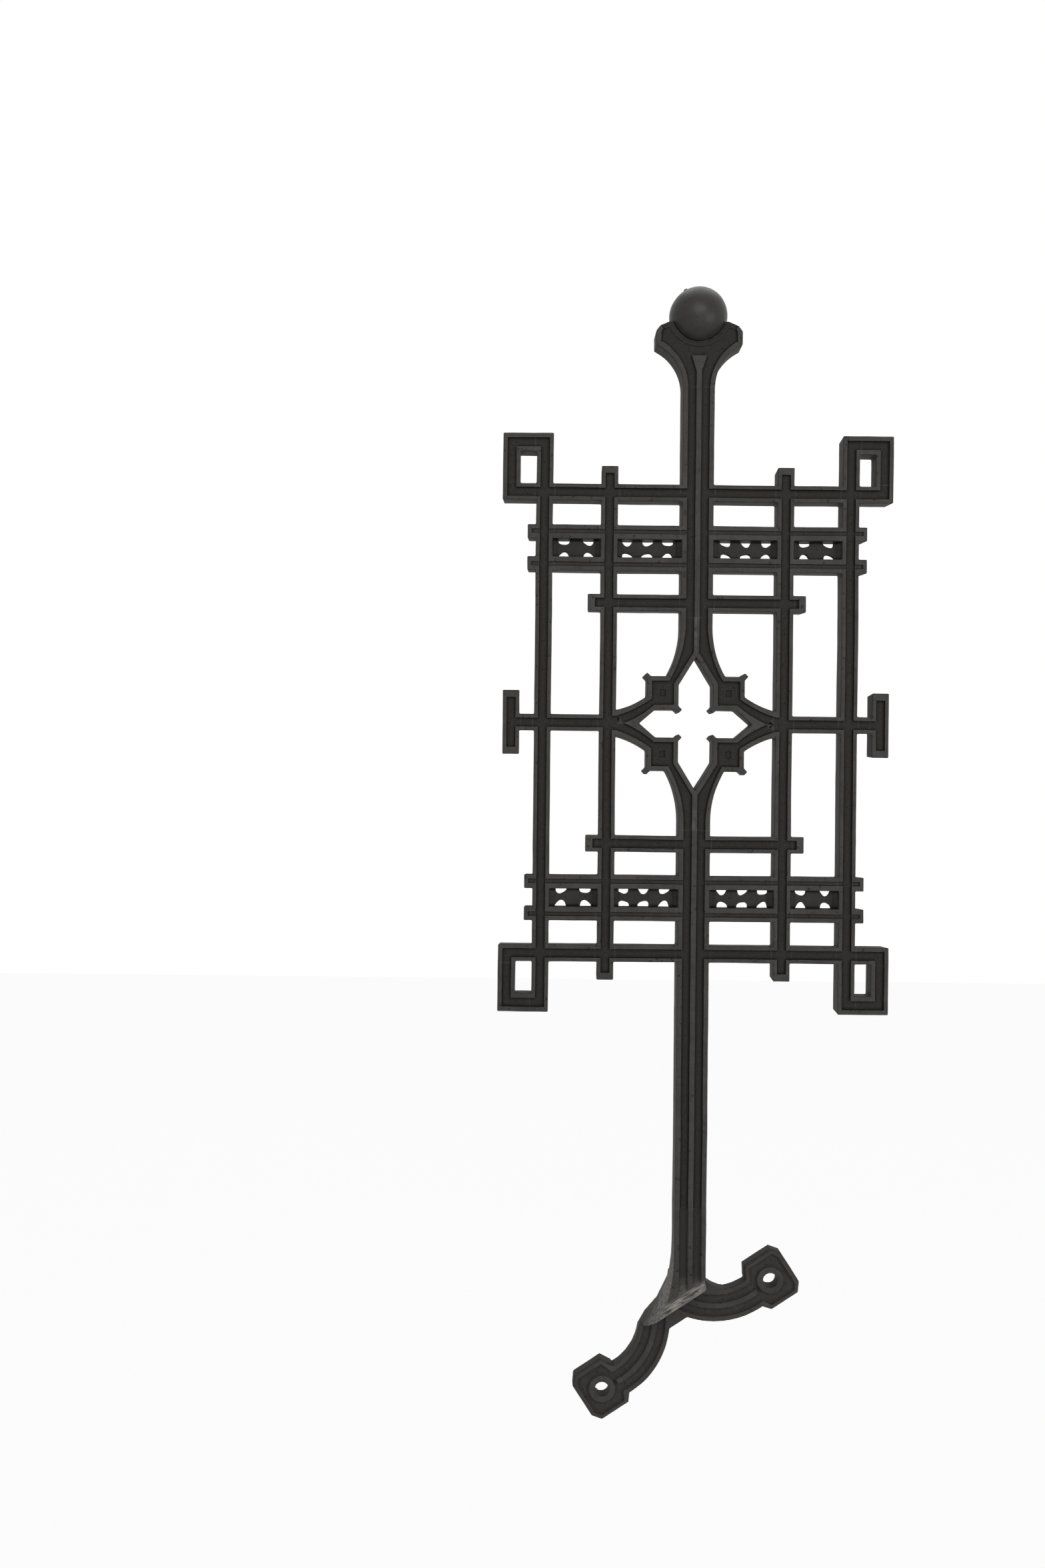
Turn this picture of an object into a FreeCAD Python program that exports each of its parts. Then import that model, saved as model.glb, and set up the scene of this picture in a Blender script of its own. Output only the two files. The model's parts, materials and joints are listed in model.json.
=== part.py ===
"""Cast-iron stair baluster, side fixed: a panel of reeded bars on a stem, a ball on top and a forked foot.

Millimetres. +Z is up and the front faces -Y. The wall plane is y = 0, and the origin is the mid-point between
the two screw holes of the foot, on the wall plane. The panel's own sizes are measured from its centre, on the
stem's axis, and are moved up there by placed().
"""
import math
import os

import FreeCAD, Part
from FreeCAD import Vector

# Where the panel stands from the foot
stem_x = -3.5
panel_z = 431.2
panel_stand = 35.0          # wall plane to the back of the bars
bar_depth = 16.0            # front to back of every bar
draft = 0.85                # how much narrower a bar is at its back, each side
front_y = -(panel_stand + bar_depth)
lap_y = front_y + bar_depth / 2
proud = 1.0                 # how far a cutter stands out of the face that it cuts
room = 500.0                # half size of a block that takes in the whole panel

# Bars and their relief
bar_w = 11.4
rim_w = 2.7
groove_depth = 1.3
slot_depth = 0.7            # the finer groove of the tray rails

# Upright bars
rail_z = 155.8              # height of the top rail, which sets the panel's height
outer_x = 103.6             # place of the outer uprights, which sets the panel's width
outer_top = rail_z + 39.8
inner_x = 59.6
inner_top = rail_z + 17.9
spur_rim = 4.9              # solid end of a bar that ends free

# Level bars
rail_end = outer_x + 28.5
tie_z = 81.4
tie_end = inner_x + 14.3
tray_rail_w = 9.5
tray_inner_z = 107.4
tray_outer_z = 129.0
tray_rail_end = outer_x + 11.3
tray_groove_w = 2.8
tray_groove_shift = 0.25    # the fine groove lies this far outside the rail's own middle
tee_x = outer_x + 21.3
tee_h = 43.6

# Corner frames
corner_side_w = 12.0
corner_far_w = 12.7

# Perforated trays
tray_sink = 4.5
tray_floor = 4.0
tray_hole_r = 3.8
mid_tray_holes = 3
mid_tray_pitch = 13.8
mid_tray_shift = 1.2
side_tray_holes = 2
side_tray_pitch = 16.6

# Stem
stem_w = 21.4
stem_rim = 3.35
stem_mid_rim = 3.6
stem_split_z = 72.0

# Quatrefoil arms, each from the stem round a square boss to the middle rail
arm_curve_z = 65.0
boss_in_x = 11.6
boss_out_x = 32.9
boss_in_z = 9.5
boss_out_z = 32.1
boss_rim = 3.2
arm_top_x = 19.6            # where the outer edge of the upper limb meets the boss
arm_top_bow = 2.2
arm_side_z = 18.5           # where the upper edge of the side limb meets the boss
arm_side_end_z = 8.8
arm_side_bow = 1.1
star_half_h = 45.0
star_half_w = 38.1
star_top_z = 26.1           # where the star's upper edge meets the boss
star_side_x = 27.1          # where the star's side edge meets the boss
star_rim_x = 48.6
star_rim_step = 1.0         # how much wider the star's rim is where it meets the boss
channel_end_step = 1.5      # how far the side channel stays open above the rail's own groove
nub_w = 3.4
nub_out = 1.8
dimple_w = 3.6
dimple_h = 4.5
dimple_depth = 0.6

# Ball and cradle
ball_r = 19.7
ball_z = 277.5
seat_gap = 0.15
spigot_r = 4.5
spigot_len = 9.0
spigot_gap = 0.1
cradle_base_z = ball_z - 49.5
cradle_curve_r = 31.0
cradle_curve_step = 0.8     # the curve ends this far under the horn's corner
horn_in_x = 27.7
horn_x = 29.2
horn_low_z = ball_z - 21.1
horn_high_z = ball_z - 12.0
horn_top_x = 26.3
horn_top_z = ball_z - 8.1
horn_seat_x = 19.4
horn_seat_z = ball_z - 5.2
horn_lip_in = 4.4
horn_lip_drop = 0.8
seat_ring = 2.3
key_half_top = 5.2
key_top_z = ball_z - 28.4
key_low_z = ball_z - 39.6
horn_rim = 3.4
horn_rim_slant = 2.72       # the rim measured level and upright where the horn's edge slants
field_low_step = 1.6
field_high_step = 1.2
field_top_in = 1.5
field_seat_in = 6.0
field_seat_drop = 1.5

# Foot
pitch = 33.5                # slope of the line through the two screw holes, degrees
hole_half = 71.05
hole_r = 5.0
hole_ring_r = 9.5
plate_t = 10.0
leg_w = 22.0
leg_centre_u = hole_half - 16.25
leg_low_n = -12.7           # lowest point of a leg's outer edge
crotch_half = 7.5
crotch_rise = 22.72         # height of the crotch over that lowest point
leg_out_r = ((leg_centre_u - crotch_half) ** 2 + crotch_rise ** 2) / (2 * crotch_rise)
leg_centre_n = leg_low_n + leg_out_r
leg_rim = 3.4
leg_mid_rim = 4.0
leg_left_start = leg_centre_u - 30.8
leg_right_start = leg_centre_u - 14.8
pad_in_u = hole_half - 15.05
pad_shoulder_u = hole_half - 10.55
pad_tip_u = hole_half + 11.95
pad_out_u = hole_half + 16.65
pad_half_n = 18.6
pad_tip_n = 12.5
pad_low_n = -13.2           # where the pad's inner edge starts, under the leg
pad_high_n = 11.0           # where it ends, over the leg
pad_rim_slant = 1.7
pad_rim_tip = 1.36

# Knee between the stem and the foot. Heights with n are square to the pitch line, heights with z upright
knee_back_n = 80.0
knee_back_r = 40.0
knee_nose_n = 43.0
knee_nose_round_n = 3.2     # the middle of the nose's round, over the ridge
knee_nose_round_in = 1.6    # and behind the front
knee_ridge_n = 34.5
knee_ridge_in = 5.5
knee_root_n = 25.0
knee_under_rise = 2.5       # how far the underside is hollowed
knee_top_z = 103.2
flare_z = 67.2              # the knee's left side begins to sweep out here
flare_out = 7.4
flare_drop = 38.0
flare_bow = 1.6
heel_z = 46.2               # the knee's right side meets the leg below here
heel_bow = 3.0
knee_groove_z = 57.2        # the stem's grooves run out here


def point(x, z, y=0.0):
    """A point given by its place in the front view, and its depth."""
    return Vector(x, y, z)


def bowed(start, end, bow):
    """A point for an arc: the middle of two points, moved sideways by the bow."""
    dx, dz = end[0] - start[0], end[1] - start[1]
    length = math.hypot(dx, dz)
    return ((start[0] + end[0]) / 2 - dz / length * bow, (start[1] + end[1]) / 2 + dx / length * bow)


def face_of(corners, y):
    """A flat face in the front view. A corner is (x, z), or (bow, x, z) when an arc leads to it."""
    edges = []
    last = corners[-1][-2:]
    for corner in corners:
        here = corner[-2:]
        if len(corner) == 3:
            middle = bowed(last, here, corner[0])
            edges.append(Part.Arc(point(*last, y), point(*middle, y), point(*here, y)).toShape())
        else:
            edges.append(Part.LineSegment(point(*last, y), point(*here, y)).toShape())
        last = here
    return Part.Face(Part.Wire(edges))


def slab(corners, y_front, depth):
    """A solid of steady outline, from y_front back."""
    return face_of(corners, y_front).extrude(Vector(0, depth, 0))


def bar(x, z, width, height):
    """One bar of the panel, centred at x and z, narrower at its back."""
    half_w, half_h = width / 2, height / 2
    sections = []
    for y, cut in ((front_y, 0.0), (front_y + bar_depth, draft)):
        across, up = half_w - cut, half_h - cut
        corners = [(x - across, z - up), (x + across, z - up), (x + across, z + up), (x - across, z + up)]
        sections.append(Part.makePolygon([point(*c, y) for c in corners + corners[:1]]))
    return Part.makeLoft(sections, True, True)


def groove(x0, x1, z0, z1, depth=groove_depth):
    """A straight groove in the front of the bars, from x0 to x1 and z0 to z1."""
    low_x, high_x = min(x0, x1), max(x0, x1)
    low_z, high_z = min(z0, z1), max(z0, z1)
    return Part.makeBox(high_x - low_x, depth + proud, high_z - low_z, Vector(low_x, front_y - proud, low_z))


def mirrored_x(shape):
    """The same shape on the other side of the stem."""
    return shape.mirror(Vector(0, 0, 0), Vector(1, 0, 0))


def mirrored_z(shape):
    """The same shape below the panel's centre."""
    return shape.mirror(Vector(0, 0, 0), Vector(0, 0, 1))


def quadrants(shape):
    """The shape in all four quarters of the panel, with each quarter's name."""
    return {
        "upper_right": shape,
        "upper_left": mirrored_x(shape),
        "lower_right": mirrored_z(shape),
        "lower_left": mirrored_z(mirrored_x(shape)),
    }


def trimmed(shape, tools):
    """The shape less every tool that comes near it."""
    near = [tool for tool in tools if tool.BoundBox.intersect(shape.BoundBox)]
    return shape.cut(near) if near else shape


def placed(shape):
    """A shape of the panel, moved to its place above the foot."""
    moved = shape.copy()
    moved.translate(Vector(stem_x, 0, panel_z))
    return moved


def uprights():
    """The four upright bars, whole."""
    shapes = {}
    for side, sign in (("left", -1), ("right", 1)):
        shapes["outer_upright_" + side] = bar(sign * outer_x, 0, bar_w, 2 * outer_top)
        shapes["inner_upright_" + side] = bar(sign * inner_x, 0, bar_w, 2 * inner_top)
    return shapes


def tees():
    """The short upright bars at the two ends of the middle rails, whole."""
    return {"end_tee_left": bar(-tee_x, 0, bar_w, tee_h), "end_tee_right": bar(tee_x, 0, bar_w, tee_h)}


def stems():
    """The plain stem above and below the quatrefoil, whole and without its grooves."""
    half = stem_w / 2
    low_z = knee_top_z - panel_z
    upper = slab([(-half, stem_split_z), (half, stem_split_z), (half, cradle_base_z), (-half, cradle_base_z)],
                 front_y, bar_depth)
    lower = slab([(-half, low_z), (half, low_z), (half, -stem_split_z), (-half, -stem_split_z)],
                 front_y, bar_depth)
    return {"upper_stem": upper, "lower_stem": lower}


def rails():
    """Every level bar that crosses the uprights, whole."""
    shapes = {}
    mid_in = inner_x - bar_w / 2
    mid_out = tee_x + bar_w / 2
    for name, sign in (("top", 1), ("bottom", -1)):
        shapes[name + "_rail"] = bar(0, sign * rail_z, 2 * rail_end, bar_w)
        shapes[name + "_tray_rail_outer"] = bar(0, sign * tray_outer_z, 2 * tray_rail_end, tray_rail_w)
        shapes[name + "_tray_rail_inner"] = bar(0, sign * tray_inner_z, 2 * tray_rail_end, tray_rail_w)
        shapes[name + "_tie_rail"] = bar(0, sign * tie_z, 2 * tie_end, bar_w)
    for name, sign in (("left", -1), ("right", 1)):
        shapes["middle_rail_" + name] = bar(sign * (mid_in + mid_out) / 2, 0, mid_out - mid_in, bar_w)
    return shapes


def corner_return():
    """The two outer sides of the upper right corner frame, in one bent bar."""
    side_in = rail_end - corner_side_w
    far_in = outer_top - corner_far_w
    start_x = outer_x
    start_z = rail_z
    corners = [(start_x, far_in), (side_in, far_in), (side_in, start_z), (rail_end, start_z),
               (rail_end, outer_top), (start_x, outer_top)]
    return slab(corners, front_y, bar_depth)


def quatrefoil_arm():
    """The upper right arm: a limb from the stem, the boss with its two nubs, and a limb to the side."""
    half = stem_w / 2
    end_x = inner_x - bar_w / 2
    arm = slab([
        (0, stem_split_z), (half, stem_split_z), (half, arm_curve_z),
        (-arm_top_bow, arm_top_x, boss_out_z), (boss_out_x, boss_out_z), (boss_out_x, arm_side_z),
        (-arm_side_bow, end_x, arm_side_end_z), (end_x, 0), (star_half_w, 0),
        (star_side_x, boss_in_z), (boss_in_x, boss_in_z), (boss_in_x, star_top_z), (0, star_half_h),
    ], front_y, bar_depth)
    for corner_x, corner_z, way in ((boss_out_x, boss_out_z, 1), (boss_in_x, boss_in_z, -1)):
        nub = Part.makeBox(nub_out + nub_w, bar_depth, nub_w, Vector(-nub_w, front_y, -nub_w / 2))
        nub.rotate(Vector(0, 0, 0), Vector(0, 1, 0), -45 if way > 0 else 135)
        nub.translate(Vector(corner_x, 0, corner_z))
        arm = arm.fuse(nub)
    return arm.removeSplitter()


def quatrefoil_grooves():
    """What is sunk in the upper right arm: the groove of both limbs and the field and dimple of the boss."""
    rim_x = stem_w / 2 - stem_rim
    mid_half = stem_mid_rim / 2
    field_in_x, field_out_x = boss_in_x + boss_rim, boss_out_x - boss_rim
    field_in_z, field_out_z = boss_in_z + boss_rim, boss_out_z - boss_rim
    groove_z = bar_w / 2 - rim_w
    channel = slab([
        (mid_half, stem_split_z), (rim_x, stem_split_z), (rim_x, arm_curve_z),
        (-arm_top_bow, arm_top_x - boss_rim / 2, field_out_z), (field_out_x, field_out_z),
        (field_out_x, arm_side_z - boss_rim / 2),
        (-arm_side_bow, inner_x - groove_z, groove_z + channel_end_step),
        (inner_x - groove_z, 0), (star_rim_x, 0), (arm_side_bow, star_side_x + star_rim_step, field_in_z),
        (field_in_x, field_in_z), (field_in_x, star_top_z + star_rim_step),
        (mid_half, star_half_h + boss_rim),
    ], front_y - proud, groove_depth + proud)
    centre_x, centre_z = (boss_in_x + boss_out_x) / 2, (boss_in_z + boss_out_z) / 2
    dimple = Part.makeBox(dimple_w, groove_depth + dimple_depth + proud, dimple_h,
                          Vector(centre_x - dimple_w / 2, front_y - proud, centre_z - dimple_h / 2))
    return [channel, dimple]


def straight_grooves():
    """The grooves of all the straight bars. They run into each other where the bars cross."""
    half = bar_w / 2 - rim_w
    stem_in, stem_out = stem_mid_rim / 2, stem_w / 2 - stem_rim
    corner_x = rail_end - corner_side_w / 2
    corner_z = outer_top - corner_far_w / 2
    cuts = []
    for side in (-1, 1):
        def across(x0, x1, z, half_width, depth=groove_depth):
            cuts.append(groove(side * x0, side * x1, z - half_width, z + half_width, depth))

        def upright(x, z0, z1, half_width=half):
            cuts.append(groove(side * (x - half_width), side * (x + half_width), z0, z1))

        upright(outer_x, -corner_z - half, corner_z + half)
        upright(inner_x, -inner_top + spur_rim, inner_top - spur_rim)
        upright(tee_x, -tee_h / 2 + spur_rim, tee_h / 2 - spur_rim)
        across(inner_x, tee_x, 0, half)
        for end in (-1, 1):
            across(stem_in, corner_x + half, end * rail_z, half)
            across(outer_x, corner_x + half, end * corner_z, half)
            upright(corner_x, end * rail_z, end * corner_z)
            across(stem_in, tie_end - spur_rim, end * tie_z, half)
            across(stem_in, tray_rail_end - rim_w, end * (tray_outer_z + tray_groove_shift),
                   tray_groove_w / 2, slot_depth)
            across(stem_in, tray_rail_end - rim_w, end * (tray_inner_z - tray_groove_shift),
                   tray_groove_w / 2, slot_depth)
        middle = (stem_in + stem_out) / 2
        upright(middle, stem_split_z, key_top_z, (stem_out - stem_in) / 2)
        upright(middle, knee_top_z - panel_z, -stem_split_z, (stem_out - stem_in) / 2)
    return cuts


def tray(x_low, x_high, count, pitch_x, shift):
    """A perforated tray floor in the gap between the two upper tray rails, before it is trimmed to fit."""
    low_z, high_z = tray_inner_z + tray_rail_w / 2, tray_outer_z - tray_rail_w / 2
    reach = 2 * draft
    floor = Part.makeBox(x_high - x_low + 2 * reach, tray_floor, high_z - low_z + 2 * reach,
                         Vector(x_low - reach, front_y + tray_sink, low_z - reach))
    centre = (x_low + x_high) / 2 + shift
    for index in range(count):
        x = centre + (index - (count - 1) / 2) * pitch_x
        for z in (low_z, high_z):
            hole = Part.makeCylinder(tray_hole_r, bar_depth, Vector(x, front_y, z), Vector(0, 1, 0))
            floor = floor.cut(hole)
    return floor


def trays():
    """All eight trays: a three-hole and a two-hole tray in each quarter of the panel."""
    shapes = {}
    middle = tray(stem_w / 2, inner_x - bar_w / 2, mid_tray_holes, mid_tray_pitch, mid_tray_shift)
    outer = tray(inner_x + bar_w / 2, outer_x - bar_w / 2, side_tray_holes, side_tray_pitch, 0)
    for kind, shape in (("middle", middle), ("side", outer)):
        for quarter, copy in quadrants(shape).items():
            shapes[kind + "_tray_" + quarter] = copy
    return shapes


def ball():
    """The ball, with the round spigot under it that sits in the cradle."""
    centre = Vector(0, front_y + bar_depth / 2, ball_z)
    sphere = Part.makeSphere(ball_r, centre)
    spigot = Part.makeCylinder(spigot_r, ball_r + spigot_len, centre, Vector(0, 0, -1))
    return sphere.fuse(spigot)


def cradle():
    """The horned cradle under the ball, with its sunk field, seat ring and key."""
    half = stem_w / 2
    curve_end = (horn_in_x, horn_low_z - cradle_curve_step)
    chord = math.hypot(curve_end[0] - half, curve_end[1] - cradle_base_z)
    bow = cradle_curve_r - math.sqrt(cradle_curve_r ** 2 - chord ** 2 / 4)
    lip_x, lip_z = horn_seat_x - horn_lip_in, horn_seat_z - horn_lip_drop
    right = [(half, cradle_base_z), (bow, *curve_end), (horn_x, horn_low_z), (horn_x, horn_high_z),
             (horn_top_x, horn_top_z), (horn_seat_x, horn_seat_z), (lip_x, lip_z)]
    left = [(-lip_x, lip_z), (-horn_seat_x, horn_seat_z), (-horn_top_x, horn_top_z), (-horn_x, horn_high_z),
            (-horn_x, horn_low_z), (-curve_end[0], curve_end[1]), (bow, -half, cradle_base_z)]
    body = slab(right + left, front_y, bar_depth)
    inner_half = half - stem_rim
    shrink = horn_rim_slant
    field_right = [(inner_half, cradle_base_z), (bow, curve_end[0] - shrink, curve_end[1] + shrink),
                   (horn_x - horn_rim, horn_low_z + field_low_step),
                   (horn_x - horn_rim, horn_high_z - field_high_step),
                   (horn_top_x - field_top_in, horn_top_z - shrink),
                   (horn_seat_x - field_seat_in, horn_seat_z - field_seat_drop)]
    field_left = [(-x, z) for *_, x, z in reversed(field_right[2:])]
    field_left += [(-curve_end[0] + shrink, curve_end[1] + shrink), (bow, -inner_half, cradle_base_z)]
    field = slab(field_right + field_left, front_y - proud, groove_depth + proud)
    centre = Vector(0, front_y + bar_depth / 2, ball_z)
    ring_front = Vector(0, front_y - proud, ball_z)
    ring = Part.makeCylinder(ball_r + seat_ring, bar_depth, ring_front, Vector(0, 1, 0))
    mid_half = stem_mid_rim / 2
    key = slab([(-mid_half, cradle_base_z), (mid_half, cradle_base_z), (mid_half, key_low_z),
                (key_half_top, key_top_z), (-key_half_top, key_top_z), (-mid_half, key_low_z)],
               front_y - proud, groove_depth + proud)
    body = body.cut(field.cut(ring).cut(key))
    body = body.cut(Part.makeSphere(ball_r + seat_gap, centre))
    socket = Part.makeCylinder(spigot_r + spigot_gap, ball_r + spigot_len, centre, Vector(0, 0, -1))
    return body.cut(socket)


def foot_point(u, n):
    """A point of the foot, given along the pitch line and square to it, as x and z from the origin."""
    angle = math.radians(pitch)
    return (u * math.cos(angle) - n * math.sin(angle), u * math.sin(angle) + n * math.cos(angle))


def turned(shape):
    """A foot shape that was drawn level, turned to the pitch."""
    copy = shape.copy()
    copy.rotate(Vector(0, 0, 0), Vector(0, 1, 0), -pitch)
    return copy


def leg_edge_n(u, radius):
    """How high a leg's curve of this radius stands at a place along the pitch."""
    return leg_centre_n - math.sqrt(radius ** 2 - (leg_centre_u - u) ** 2)


def leg_ring(side, r_low, r_high, y, depth):
    """A full ring round the centre of one leg's curve."""
    centre = Vector(side * leg_centre_u, y, leg_centre_n)
    along = Vector(0, 1, 0)
    return Part.makeCylinder(r_high, depth, centre, along).cut(Part.makeCylinder(r_low, depth, centre, along))


def leg_window(side, u_from, u_to, n_top, y, depth):
    """The block that a leg's ring is cut down to, on one side of the foot."""
    low_u = min(side * u_from, side * u_to)
    low_n = leg_centre_n - leg_out_r - proud
    return Part.makeBox(abs(u_to - u_from), depth, n_top - low_n, Vector(low_u, y, low_n))


def leg_grooves(side, n_top):
    """The two curved grooves of one leg, from the middle of the foot to the pad's field."""
    in_r = leg_out_r - leg_w
    width = (leg_w - 2 * leg_rim - leg_mid_rim) / 2
    window = leg_window(side, 0, pad_in_u + leg_rim, n_top, -plate_t - proud, groove_depth + proud)
    cuts = []
    for start in (in_r + leg_rim, in_r + leg_rim + width + leg_mid_rim):
        ring = leg_ring(side, start, start + width, -plate_t - proud, groove_depth + proud)
        cuts.append(ring.common(window))
    return cuts


def foot_leg(side, start_u):
    """One curved leg of the foot, drawn level, from its start to the pad."""
    ring = leg_ring(side, leg_out_r - leg_w, leg_out_r, -plate_t, plate_t)
    leg = ring.common(leg_window(side, start_u, pad_in_u, leg_centre_n, -plate_t, plate_t))
    for cut in leg_grooves(side, leg_centre_n):
        leg = leg.cut(cut)
    return leg


def foot_pad(side):
    """The screw pad at the end of one leg, drawn level, with its sunk field, hole and the ring round it."""
    corners = [(pad_in_u, pad_low_n), (pad_shoulder_u, -pad_half_n), (pad_tip_u, -pad_half_n),
               (pad_out_u, -pad_tip_n), (pad_out_u, pad_tip_n), (pad_tip_u, pad_half_n),
               (pad_shoulder_u, pad_half_n), (pad_in_u, pad_high_n)]
    in_u, out_u, field_n = pad_in_u + leg_rim, pad_out_u - leg_rim, pad_half_n - leg_rim
    shoulder_u = pad_shoulder_u + pad_rim_slant
    tip_u, tip_n = pad_tip_u - pad_rim_tip, pad_tip_n - pad_rim_tip
    field_corners = [(in_u, pad_low_n + leg_rim), (shoulder_u, -field_n), (tip_u, -field_n), (out_u, -tip_n),
                     (out_u, tip_n), (tip_u, field_n), (shoulder_u, field_n), (in_u, pad_high_n - leg_rim)]
    along = Vector(0, 1, 0)
    front = -plate_t - proud
    pad = slab(corners, -plate_t, plate_t)
    ring = Part.makeCylinder(hole_ring_r, plate_t, Vector(hole_half, front, 0), along)
    field = slab(field_corners, front, groove_depth + proud).cut(ring)
    pad = pad.cut(field)
    pad = pad.cut(Part.makeCylinder(hole_r, plate_t + 2 * proud, Vector(hole_half, front, 0), along))
    if side < 0:
        pad = mirrored_x(pad)
    for cut in leg_grooves(side, leg_centre_n):
        pad = pad.cut(cut)
    return pad


def knee():
    """The stem's end, swept back to the wall over a ridge that follows the pitch, and the crotch plate."""
    half = stem_w / 2
    left_x, right_x = stem_x - half, stem_x + half
    left_low = foot_point(-leg_left_start, leg_edge_n(leg_left_start, leg_out_r - leg_w))
    right_low = foot_point(leg_right_start, leg_edge_n(leg_right_start, leg_out_r - leg_w))
    outline = [(left_x, knee_top_z), (left_x, flare_z), (flare_bow, left_x - flare_out, flare_z - flare_drop),
               (flare_bow, *left_low), foot_point(-leg_left_start, -leg_w),
               foot_point(leg_right_start, -leg_w), right_low, (heel_bow, right_x, heel_z),
               (right_x, knee_top_z)]
    root_front = -plate_t
    body = slab(outline, front_y, -front_y - plate_t)
    sweep = panel_stand - plate_t
    drop = knee_back_n - math.sqrt(knee_back_r ** 2 - (knee_back_r - sweep) ** 2)
    ridge_y = front_y + knee_ridge_in
    stem_back = front_y + bar_depth
    far_n = 2 * knee_back_n
    sides = [(far_n, front_y), (far_n, stem_back), (knee_back_n, stem_back)]
    profile = [point(0, n, y) for n, y in sides]
    edges = [Part.LineSegment(profile[0], profile[1]).toShape(),
             Part.LineSegment(profile[1], profile[2]).toShape()]
    turn = math.acos(1 - sweep / knee_back_r) / 2
    arc_mid = point(0, knee_back_n - knee_back_r * math.sin(turn),
                    stem_back + knee_back_r * (1 - math.cos(turn)))
    edges.append(Part.Arc(profile[2], arc_mid, point(0, drop, root_front)).toShape())
    edges.append(Part.LineSegment(point(0, drop, root_front), point(0, knee_root_n, root_front)).toShape())
    under_mid = point(0, (knee_ridge_n + knee_root_n) / 2 + knee_under_rise, (root_front + ridge_y) / 2)
    edges.append(Part.Arc(point(0, knee_root_n, root_front), under_mid,
                          point(0, knee_ridge_n, ridge_y)).toShape())
    nose_mid = point(0, knee_ridge_n + knee_nose_round_n, front_y + knee_nose_round_in)
    edges.append(Part.Arc(point(0, knee_ridge_n, ridge_y), nose_mid,
                          point(0, knee_nose_n, front_y)).toShape())
    edges.append(Part.LineSegment(point(0, knee_nose_n, front_y), profile[0]).toShape())
    side_view = Part.Face(Part.Wire(edges)).extrude(Vector(2 * far_n, 0, 0))
    side_view.translate(Vector(-far_n, 0, 0))
    neck = body.common(turned(side_view))
    groove_w = (stem_w - 2 * stem_rim - stem_mid_rim) / 2
    for side in (-1, 1):
        middle = stem_x + side * (stem_mid_rim + groove_w) / 2
        neck = neck.cut(groove(middle - groove_w / 2, middle + groove_w / 2,
                               knee_groove_z, knee_top_z + proud))
    return neck.fuse(crotch_plate(outline, drop)).removeSplitter()


def crotch_plate(outline, top_n):
    """The flat middle of the foot, from leg to leg, against the wall, up to the back of the knee."""
    crotch_n = leg_edge_n(crotch_half, leg_out_r)
    reach = leg_centre_u + leg_out_r
    core = Part.makeBox(2 * crotch_half, plate_t, top_n - crotch_n, Vector(-crotch_half, -plate_t, crotch_n))
    discs = []
    for side in (-1, 1):
        disc = Part.makeCylinder(leg_out_r, plate_t, Vector(side * leg_centre_u, -plate_t, leg_centre_n),
                                 Vector(0, 1, 0))
        window = Part.makeBox(reach, plate_t, reach, Vector(min(0, side * reach), -plate_t, top_n - reach))
        discs.append(disc.common(window))
    plate = slab(outline, -plate_t, plate_t).common(turned(core.fuse(discs)))
    for side in (-1, 1):
        for cut in leg_grooves(side, knee_root_n - leg_rim):
            plate = plate.cut(turned(cut))
    return plate


def main():
    """Build every piece and write one STEP file for each."""
    os.makedirs("parts", exist_ok=True)
    upright_bars = {**uprights(), **tees(), **stems()}
    level_bars = rails()
    cuts = straight_grooves()
    for index in range(2):
        for copy in quadrants(quatrefoil_grooves()[index]).values():
            cuts.append(copy)
    behind = Part.makeBox(2 * room, room, 2 * room, Vector(-room, lap_y, -room))
    ahead = Part.makeBox(2 * room, room, 2 * room, Vector(-room, lap_y - room, -room))
    rear_rails = [shape.common(behind) for shape in level_bars.values()]
    front_uprights = [shape.common(ahead) for shape in upright_bars.values()]
    all_bars = list(upright_bars.values()) + list(level_bars.values())
    panel = {}
    for name, shape in upright_bars.items():
        panel[name] = trimmed(trimmed(shape, rear_rails), cuts)
    for name, shape in level_bars.items():
        panel[name] = trimmed(trimmed(shape, front_uprights), cuts)
    for quarter, shape in quadrants(corner_return()).items():
        panel["corner_return_" + quarter] = trimmed(trimmed(shape, all_bars), cuts)
    for quarter, shape in quadrants(quatrefoil_arm()).items():
        panel["quatrefoil_arm_" + quarter] = trimmed(trimmed(shape, all_bars), cuts)
    for name, shape in trays().items():
        panel[name] = trimmed(shape, all_bars)
    panel["cradle"] = cradle()
    panel["finial_ball"] = ball()
    nodes = {name: placed(shape) for name, shape in panel.items()}
    nodes["foot_knee"] = knee()
    nodes["foot_leg_left"] = turned(foot_leg(-1, leg_left_start))
    nodes["foot_leg_right"] = turned(foot_leg(1, leg_right_start))
    nodes["foot_pad_left"] = turned(foot_pad(-1))
    nodes["foot_pad_right"] = turned(foot_pad(1))
    for name, shape in nodes.items():
        solids = shape.Solids
        print(name, len(solids), "valid" if shape.isValid() else "INVALID", round(shape.Volume))
        shape.exportStep("parts/" + name + ".step")


main()
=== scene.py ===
"""Looks of a cast-iron stair baluster: a reeded lattice on a stem, a ball in a cradle and a forked foot.

Sizes are in millimetres. The panel's are measured from its centre, on the stem's axis, and the foot's from the
mid-point of its two screw holes on the wall plane, along the pitch line (u) and square to it (n).
"""
import json
import logging
import math
from collections.abc import Callable, Iterable, Sequence
from dataclasses import dataclass, field
from enum import Enum

import bmesh
import bpy
from mathutils import Matrix, Vector

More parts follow.
